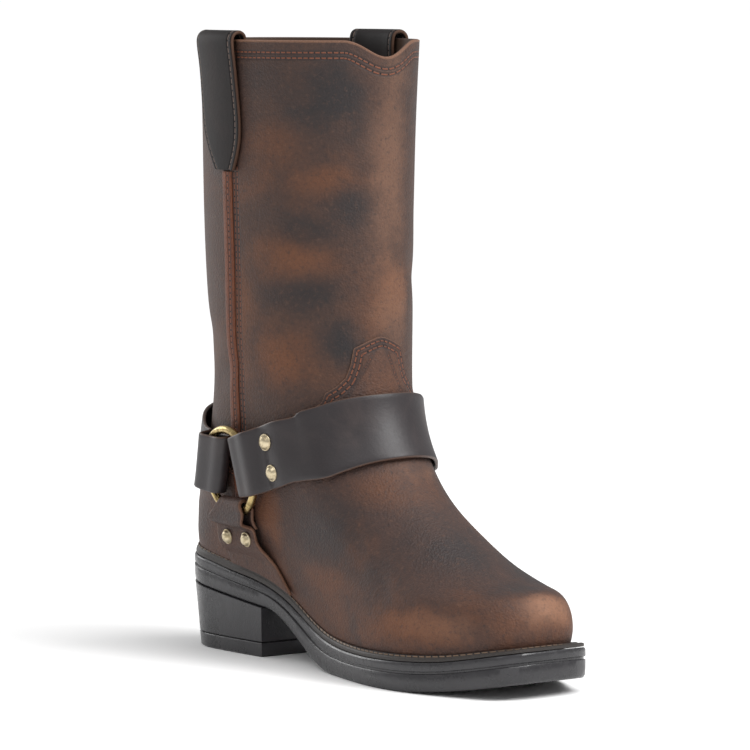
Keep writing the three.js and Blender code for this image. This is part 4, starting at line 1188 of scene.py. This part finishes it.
def ribbon(name, grid, rows):
    """A strap from a grid of points along and across its middle: splines through them, made
    thick to both sides along the normal, with half round edges. Its UV map holds the run along
    it and the distance from its nearer edge."""
    run = line_run(grid[:, grid.shape[1] // 2])
    along = curve_through(run, grid)(np.linspace(0, run[-1], rows))
    half = row_lengths(along) / 2
    round_in = STRAP / 2 / half.mean()
    share = np.concatenate([
        [-1, -1 + 0.3 * round_in], np.linspace(-1 + round_in, 1 - round_in, RIBBON_COLUMNS),
        [1 - 0.3 * round_in, 1],
    ])
    across = curve_through(np.linspace(-1, 1, grid.shape[1]), np.moveaxis(along, 1, 0))
    middle = np.moveaxis(across(share), 0, 1)
    normal = unit(np.cross(np.gradient(middle, axis=0), np.gradient(middle, axis=1)))
    lift = np.full(len(share), 0.5)
    lift[[0, -1]], lift[[1, -2]] = 0, 0.36
    top = middle + normal * (lift * STRAP)[None, :, None]
    low = middle - normal * (lift * STRAP)[None, :, None]
    loop = np.concatenate([top, low[:, -2:0:-1]], 1)
    runs = np.linspace(0, run[-1], rows)[:, None]
    edge = (1 - np.abs(share))[None, :] * half[:, None]
    uv = np.stack([runs + 0 * edge, edge], -1)
    uv = np.concatenate([uv, uv[:, -2:0:-1]], 1)
    size = loop.shape[1]
    faces = quads(rows, size).tolist()
    ends = [[row * size + j for j in range(size)] for row in (0, rows - 1)]
    faces += [ends[0][::-1], ends[1]]
    return make_piece(name, loop, faces, uv, sharp=60)


def pull_strap_grid(side):
    """Rows from the tip up the outer leg, over a half circle and down inside, each point lifted
    off the shaft's side along its normal."""
    middle = curve_through(PULL_STRAP[:, 0], PULL_STRAP[:, 1])
    half = curve_through(PULL_STRAP[:, 0], PULL_STRAP[:, 2] * PULL_STRAP_WIDTH)
    base = PULL_LOOP_RISE - PULL_ARCH_RADIUS + STRAP / 2
    angle = np.radians([0, 36, 72, 108, 144, 180])
    arch = np.stack([0 * angle, np.cos(angle), np.sin(angle)], -1) * PULL_ARCH_RADIUS
    arch += [0, PULL_ARCH_LIFT, base]
    inner = -WALL - STRAP_GAP - STRAP / 2
    rows = np.concatenate([
        np.column_stack([PULL_LIFT, 0 * PULL_LIFT[:, 0]]),
        arch,
        [[8, PULL_ARCH_LIFT - PULL_ARCH_RADIUS, 0]],
        [[drop, inner, 0] for drop in PULL_INNER_DROPS],
    ])
    drop, lift, up = rows[:, :1], rows[:, 1:2], rows[:, 2:]
    share = np.linspace(1, -1, 5)[None, :]
    x = middle(drop) + share * half(drop) + (INNER_SEAM_SHIFT if side == INNER else 0)
    level, turn = side_place(side, x, COLLAR_HEIGHT - drop + 0 * share)
    points = upper_form(level, turn) + upper_normal(level, turn) * lift[..., None]
    points[..., 2] += up
    return points


EDGE_BROWN = (0.1, 0.05, 0.03, 1)


def smooth_leather(name, base, worn, gloss, shine, rows=()):
    """Smooth, waxed strap leather: nearly black brown, cloudy, with fine creasing, paler where it
    is rubbed and along its cut edges, and rows of stitches where it has them, with painted shade in
    their grooves and needle holes."""
    finish = Finish(name)
    cloud = finish.noise(24, 4, 0.6, 0.5)
    fine = finish.noise(520, 4, 0.7)
    wrinkle = finish.noise(95, 5, 0.65, 1.2)
    tone = finish.blend(finish.ramp(cloud, 0.45, 0.75) * 0.7, base, worn)
    tone = finish.blend(finish.ramp(fine, 0.55, 0.8) * 0.3, tone, worn)
    thread, hole, groove, away = stitched(finish, "stitch", rows or NO_ROWS)
    tone = finish.blend(finish.ramp(away, 0.9, 0.15) * 0.7, tone, EDGE_BROWN)
    normal = finish.bump(fine * 0.7 + wrinkle * 0.8, 0.0003, 0.45)
    if rows:
        # Painted shade: the groove beside the row nearly black, and the needle holes black.
        tone = finish.blend(groove * 0.4, tone, (0.008, 0.006, 0.006, 1))
        tone = finish.blend(thread * 0.9, tone, (0.13, 0.088, 0.07, 1))
        tone = finish.blend(hole * 0.9, tone, (0.003, 0.002, 0.002, 1))
        normal = finish.bump(thread * 0.6 - groove * 0.8 - hole * 0.5, 0.0005, 0.9, normal)
    rough = gloss + cloud * 0.14 + fine * 0.08
    return finish.surface(
        Base_Color=tone, Roughness=rough, Specular_IOR_Level=shine, Normal=normal
    )


pull_leather = smooth_leather(
    "pull_leather", (0.009, 0.0065, 0.0065, 1), (0.022, 0.015, 0.014, 1),
    gloss=0.52, shine=0.2, rows=(3.4,),
)
for side, word in SIDES:
    pull = ribbon(f"pull_loop_{word}", pull_strap_grid(side), STRAP_ROWS)
    pull.data.materials.append(pull_leather)
    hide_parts(f"pull_strap_{word}")

# The harness rings are plain rings of antique brass, one on each side. Each leans with the
# ankle's side, far enough off it for the strap ends that are folded round its wire.
RING_RADIUS = 23.75
RING_WIRE = 4.5
RING_X = 73.5
RING_HEIGHT = 104.2
RING_PLAY = 0.3
RING_STEPS = 96
WIRE_STEPS = 20
STRAP_LIFT = SKIN_GAP + OVERLAY + STRAP_GAP + STRAP / 2
FOLD_RADIUS = RING_WIRE / 2 + RING_PLAY + STRAP / 2


def side_point(side, x, z):
    return upper_form(*side_place(side, x, z))


def ring_plane(side):
    """The plane's normal, from the side's slopes over the ring, and its distance: the furthest
    point of the side under the ring, and the fold's room over it."""
    ahead, behind = side_point(side, RING_X + np.array([1, -1]) * RING_RADIUS, RING_HEIGHT)
    above, below = side_point(side, RING_X, RING_HEIGHT + np.array([1, -1]) * RING_RADIUS)
    normal = unit(np.cross(ahead - behind, above - below))
    normal = normal * np.sign(normal[1]) * side
    angle = np.arange(16) * np.pi / 8
    under = side_point(
        side, RING_X + RING_RADIUS * np.cos(angle), RING_HEIGHT + RING_RADIUS * np.sin(angle)
    )
    return normal, (under @ normal).max() + STRAP_LIFT + FOLD_RADIUS


ring_planes = {side: ring_plane(side) for side in (OUTER, INNER)}


def ring_points(side):
    """A torus: the ring's circle in its plane, plus the wire's circle across it."""
    normal, distance = ring_planes[side]
    y = (distance - RING_X * normal[0] - RING_HEIGHT * normal[2]) / normal[1]
    centre = np.array([RING_X, y, RING_HEIGHT])
    flat = unit(np.cross(normal, [0, 0, 1]))
    steep = np.cross(normal, flat)
    around = np.linspace(0, 2 * np.pi, RING_STEPS, endpoint=False)[:, None, None]
    wire = np.linspace(0, 2 * np.pi, WIRE_STEPS, endpoint=False)[None, :, None]
    spoke = flat * np.cos(around) + steep * np.sin(around)
    out = spoke * (RING_RADIUS + RING_WIRE / 2 * np.cos(wire))
    return centre + out + normal * np.sin(wire) * RING_WIRE / 2


def antique_brass(name, bright, dull, rough):
    """Brass gone dull in its hollows: two tones by a cloud, fine scratches in the roughness."""
    finish = Finish(name)
    cloud = finish.noise(260, 4, 0.65)
    tarnish = finish.ramp(cloud, 0.42, 0.68)
    scratch = finish.noise(2400, 2)
    return finish.surface(
        Base_Color=finish.blend(tarnish * 0.75, bright, dull),
        Metallic=1.0,
        Roughness=rough + tarnish * 0.18 + scratch * 0.06,
        Normal=finish.bump(cloud + scratch * 0.3, 0.00012, 0.4),
    )


ring_brass = antique_brass("brass", (0.5, 0.38, 0.17, 1), (0.17, 0.12, 0.055, 1), 0.2)
for side, word in SIDES:
    faces = quads(RING_STEPS, WIRE_STEPS, wrap_rows=True)
    ring_piece = make_piece(f"harness_ring_{word}", ring_points(side), faces)
    ring_piece.data.materials.append(ring_brass)
    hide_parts(f"ring_{word}")

# The instep strap and the heel strap go round the boot from ring to ring, cut from smooth dark
# leather. Their ends pass round the wire, and on the instep strap they are riveted back.
DOUBLE_LIFT = STRAP_LIFT + STRAP + GAP
END_EASE = 0.9
TAIL_EASE = 0.6
FOLD_REACH = FOLD_RADIUS + STRAP / 2
fold_angle = np.radians([0, 45, 90, 135, 180])
FOLD = np.stack([
    FOLD_REACH - FOLD_RADIUS * np.sin(fold_angle), -FOLD_RADIUS * np.cos(fold_angle),
    0 * fold_angle, 0 * fold_angle,
], -1)


def strap_end(tail, main):
    """Rows of run, rise, lying and rest: the tail under, the fold's half circle, the strap over."""
    under = [[run, -FOLD_RADIUS, lying, STRAP_LIFT] for run, lying in tail]
    over = [[run, FOLD_RADIUS, lying, rest] for run, lying, rest in main]
    return np.concatenate([under, FOLD, over])


INSTEP_END = strap_end(
    [(37, 1), (26, 1), (18.5, 0)],
    [(10, 0, 0), (18.5, 0, 0), (25, 1, DOUBLE_LIFT), (32, 1, DOUBLE_LIFT), (40, 1, DOUBLE_LIFT),
     (48, 1, STRAP_LIFT + TAIL_EASE)],
)
HEEL_END = strap_end(
    [(20.5, 0)], [(10, 0, 0), (20.5, 0, 0), (27, 1, STRAP_LIFT), (34, 1, STRAP_LIFT)]
)
SOLE_END = strap_end(
    [(17, 1), (12.3, 0)],
    [(8, 0, 0), (12.3, 0, 0), (16.5, 1, DOUBLE_LIFT), (21, 1, DOUBLE_LIFT), (28, 1, DOUBLE_LIFT)],
)


def ring_strap_points(side, x, z, rise, lying, rest):
    """Places on the side, lifted to the ring's plane plus the rise where lying is 0, and to rest
    over the side where it is 1."""
    level, turn = side_place(side, x, z)
    point, way = upper_form(level, turn), upper_normal(level, turn)
    normal, distance = ring_planes[side]
    to_plane = (distance + rise - point @ normal) / (way @ normal)
    return point + way * mix(to_plane, rest, lying)[..., None]


STRAP_SHARES = np.linspace(1, -1, 5)
INSTEP_LINE = np.array([
    # x, z, half width
    [78, 107.7, 0.46], [88, 109.9, 0.48], [105, 114.3, 0.51], [123.5, 119.3, 0.51],
    [144.5, 125.6, 0.505], [154, 130.2, 0.505], [162, 132.8, 0.505],
])
HEEL_LINE = np.array([
    [22, 116.5, 0.485], [28, 114, 0.485], [36, 111, 0.485], [45, 109.2, 0.49], [58, 108.4, 0.49],
    [78, 108.1, 0.49],
])


def belt_grid(line, width, turns, fold, forward, end):
    """Rows of a strap round the boot: its folded end on the outer side, rows at turns round the
    end of the boot at the line's height, and its other folded end. The fold's line is given as
    two heights over the ring's middle, each with its run ahead of it."""
    middle = curve_through(line[:, 0], line[:, 1])
    half = curve_through(line[:, 0], line[:, 2] * width)
    high, high_run, low, low_run = fold
    near = middle(RING_X) + STRAP_SHARES * half(RING_X)
    fold_run = mix(low_run, high_run, (near - RING_HEIGHT - low) / (high - low))

    def end_rows(side):
        run, rise, lying, rest = (end[:, k : k + 1] + 0 * STRAP_SHARES for k in range(4))
        x = RING_X + forward * (fold_run + run)
        return ring_strap_points(side, x, middle(x) + STRAP_SHARES * half(x), rise, lying, rest)

    around = np.array([*turns, *[2 - turn for turn in turns[-2::-1]]])[:, None]
    centre = level_where(lambda at: around + 0 * at, lambda point: middle(point[..., 0]))
    x = upper_form(centre, around)[..., 0]
    wide = around + 0 * STRAP_SHARES
    height = middle(x) + STRAP_SHARES * half(x)
    level = level_where(lambda at: wide + 0 * at, lambda point: height)
    rows = upper_form(level, wide) + upper_normal(level, wide) * (STRAP_LIFT + END_EASE)
    return np.concatenate([end_rows(OUTER), rows, end_rows(INNER)[::-1]])


strap_leather = smooth_leather(
    "strap_leather", (0.02, 0.0155, 0.017, 1), (0.05, 0.036, 0.034, 1), gloss=0.34, shine=0.45
)
BELTS = (
    # name, node, line, width, turns round the boot's end, fold, way, ends
    ("instep_harness", "instep_strap", INSTEP_LINE, 36,
     (0.69, 0.74, 0.79, 0.84, 0.885, 0.925, 0.965, 1), (20.5, 4.6, -14, 10.5), 1, INSTEP_END),
    ("heel_harness", "heel_strap", HEEL_LINE, 34,
     (0.16, 0.11, 0.055, 0), (20.4, -1.9, -13.2, 11), -1, HEEL_END),
)
for name, node, *belt in BELTS:
    strap = ribbon(name, belt_grid(*belt), BELT_ROWS)
    strap.data.materials.append(strap_leather)
    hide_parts(node)

# The sole straps hold the rings down. They are of the upper's brown hide, narrow at the ring,
# where they are folded and riveted, and wide at the welt, where they are caught in the seam.
SOLE_STRAP = np.array([
    # z, back, front
    [44, 61, 108], [51, 58, 102], [59, 54, 95], [66, 51.5, 89.5], [73, 50.4, 86.5], [79, 51.5, 86],
    [84, 56.5, 87], [87, 62, 85], [92, 62, 85],
])
SOLE_STRAP_TOP = 90.5
strap_edges = curve_through(SOLE_STRAP[:, 0], SOLE_STRAP[:, 1:])


def sole_strap_grid(side):
    """Rows down from the ring: the folded end, then three lying on the overlays to the welt."""
    share = np.linspace(1, 0, 5)

    def x_at(z):
        edges = strap_edges(z)
        return mix(edges[..., 0], edges[..., 1], share)

    run, rise, lying, rest = (SOLE_END[:, k : k + 1] + 0 * share for k in range(4))
    z = SOLE_STRAP_TOP - run
    upper_rows = ring_strap_points(side, x_at(z), z, rise, lying, rest)
    last = z[-1]
    foot = last
    for _ in range(2):
        x = x_at(foot)
        foot = upper_form(WELT_LEVEL, turn_at_x(side, WELT_LEVEL + 0 * x, x))[..., 2] + STRAP_GAP
    down = np.array([0.35, 0.7, 1])[:, None]
    z = mix(last, foot, down)
    level, turn = side_place(side, x_at(z), z)
    lower_rows = upper_form(level, turn) + upper_normal(level, turn) * STRAP_LIFT
    return np.concatenate([upper_rows, lower_rows])


sole_strap_leather = oiled_leather(
    "sole_strap_leather", (0.07, 0.037, 0.028, 1), (0.11, 0.048, 0.028, 1),
    ((), (((0.03, -0.05, 0.08), (0.03, 0.03, 0.012), 0.6),), ()), NO_ROWS, 0.9,
)
for side, word in SIDES:
    strap = ribbon(f"sole_harness_{word}", sole_strap_grid(side), STRAP_ROWS)
    strap.data.materials.append(sole_strap_leather)
    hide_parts(f"sole_strap_{word}")

# The rivets are domed caps of pale brass with a darkened rim, set through both layers of a
# strap's end.
RIVET_DIAMETER = 9.5
RIVET_DOME = 2.8
RIVET_GAP = 0.3
RIVETS = (
    # name, x, z, size
    ("instep_rivet_upper", 110.8, 124, 1),
    ("instep_rivet_lower", 115.5, 108, 1),
    ("sole_rivet_back", 61.5, 67.6, 0.9),
    ("sole_rivet_front", 79.5, 67.8, 0.9),
)
RIVET_PROFILE = np.array([
    # radius, rise
    [0.5, 0], [0.5, 0.14], [0.485, 0.22], [0.455, 0.25], [0.43, 0.22], [0.4, 0.36], [0.37, 0.55],
    [0.32, 0.74], [0.25, 0.88], [0.16, 0.96], [0.08, 0.99],
])


def rivet_points(side, x, z, size):
    """The profile turned about the side's normal, on top of the doubled strap."""
    level, turn = side_place(side, x, z)
    normal = upper_normal(level, turn)
    base = upper_form(level, turn) + normal * (DOUBLE_LIFT + STRAP / 2 + RIVET_GAP)
    flat = unit(np.cross(normal, [0, 0, 1]))
    steep = np.cross(normal, flat)
    angle = np.linspace(0, 2 * np.pi, 36, endpoint=False)[None, :, None]
    spoke = flat * np.cos(angle) + steep * np.sin(angle)
    radius = RIVET_PROFILE[:, 0, None, None] * RIVET_DIAMETER * size
    return base + spoke * radius + normal * RIVET_PROFILE[:, 1, None, None] * RIVET_DOME


rivet_brass = antique_brass("rivet_brass", (0.62, 0.53, 0.36, 1), (0.28, 0.22, 0.13, 1), 0.27)
for side, word in SIDES:
    for name, x, z, size in RIVETS:
        points = rivet_points(side, x, z, size)
        rows, columns = points.shape[:2]
        faces = quads(rows, columns).tolist()
        faces += [list(range(columns))[::-1], [(rows - 1) * columns + j for j in range(columns)]]
        cap = make_piece(f"{name}_cap_{word}", points, faces)
        cap.data.materials.append(rivet_brass)
        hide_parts(f"{name}_{word}")
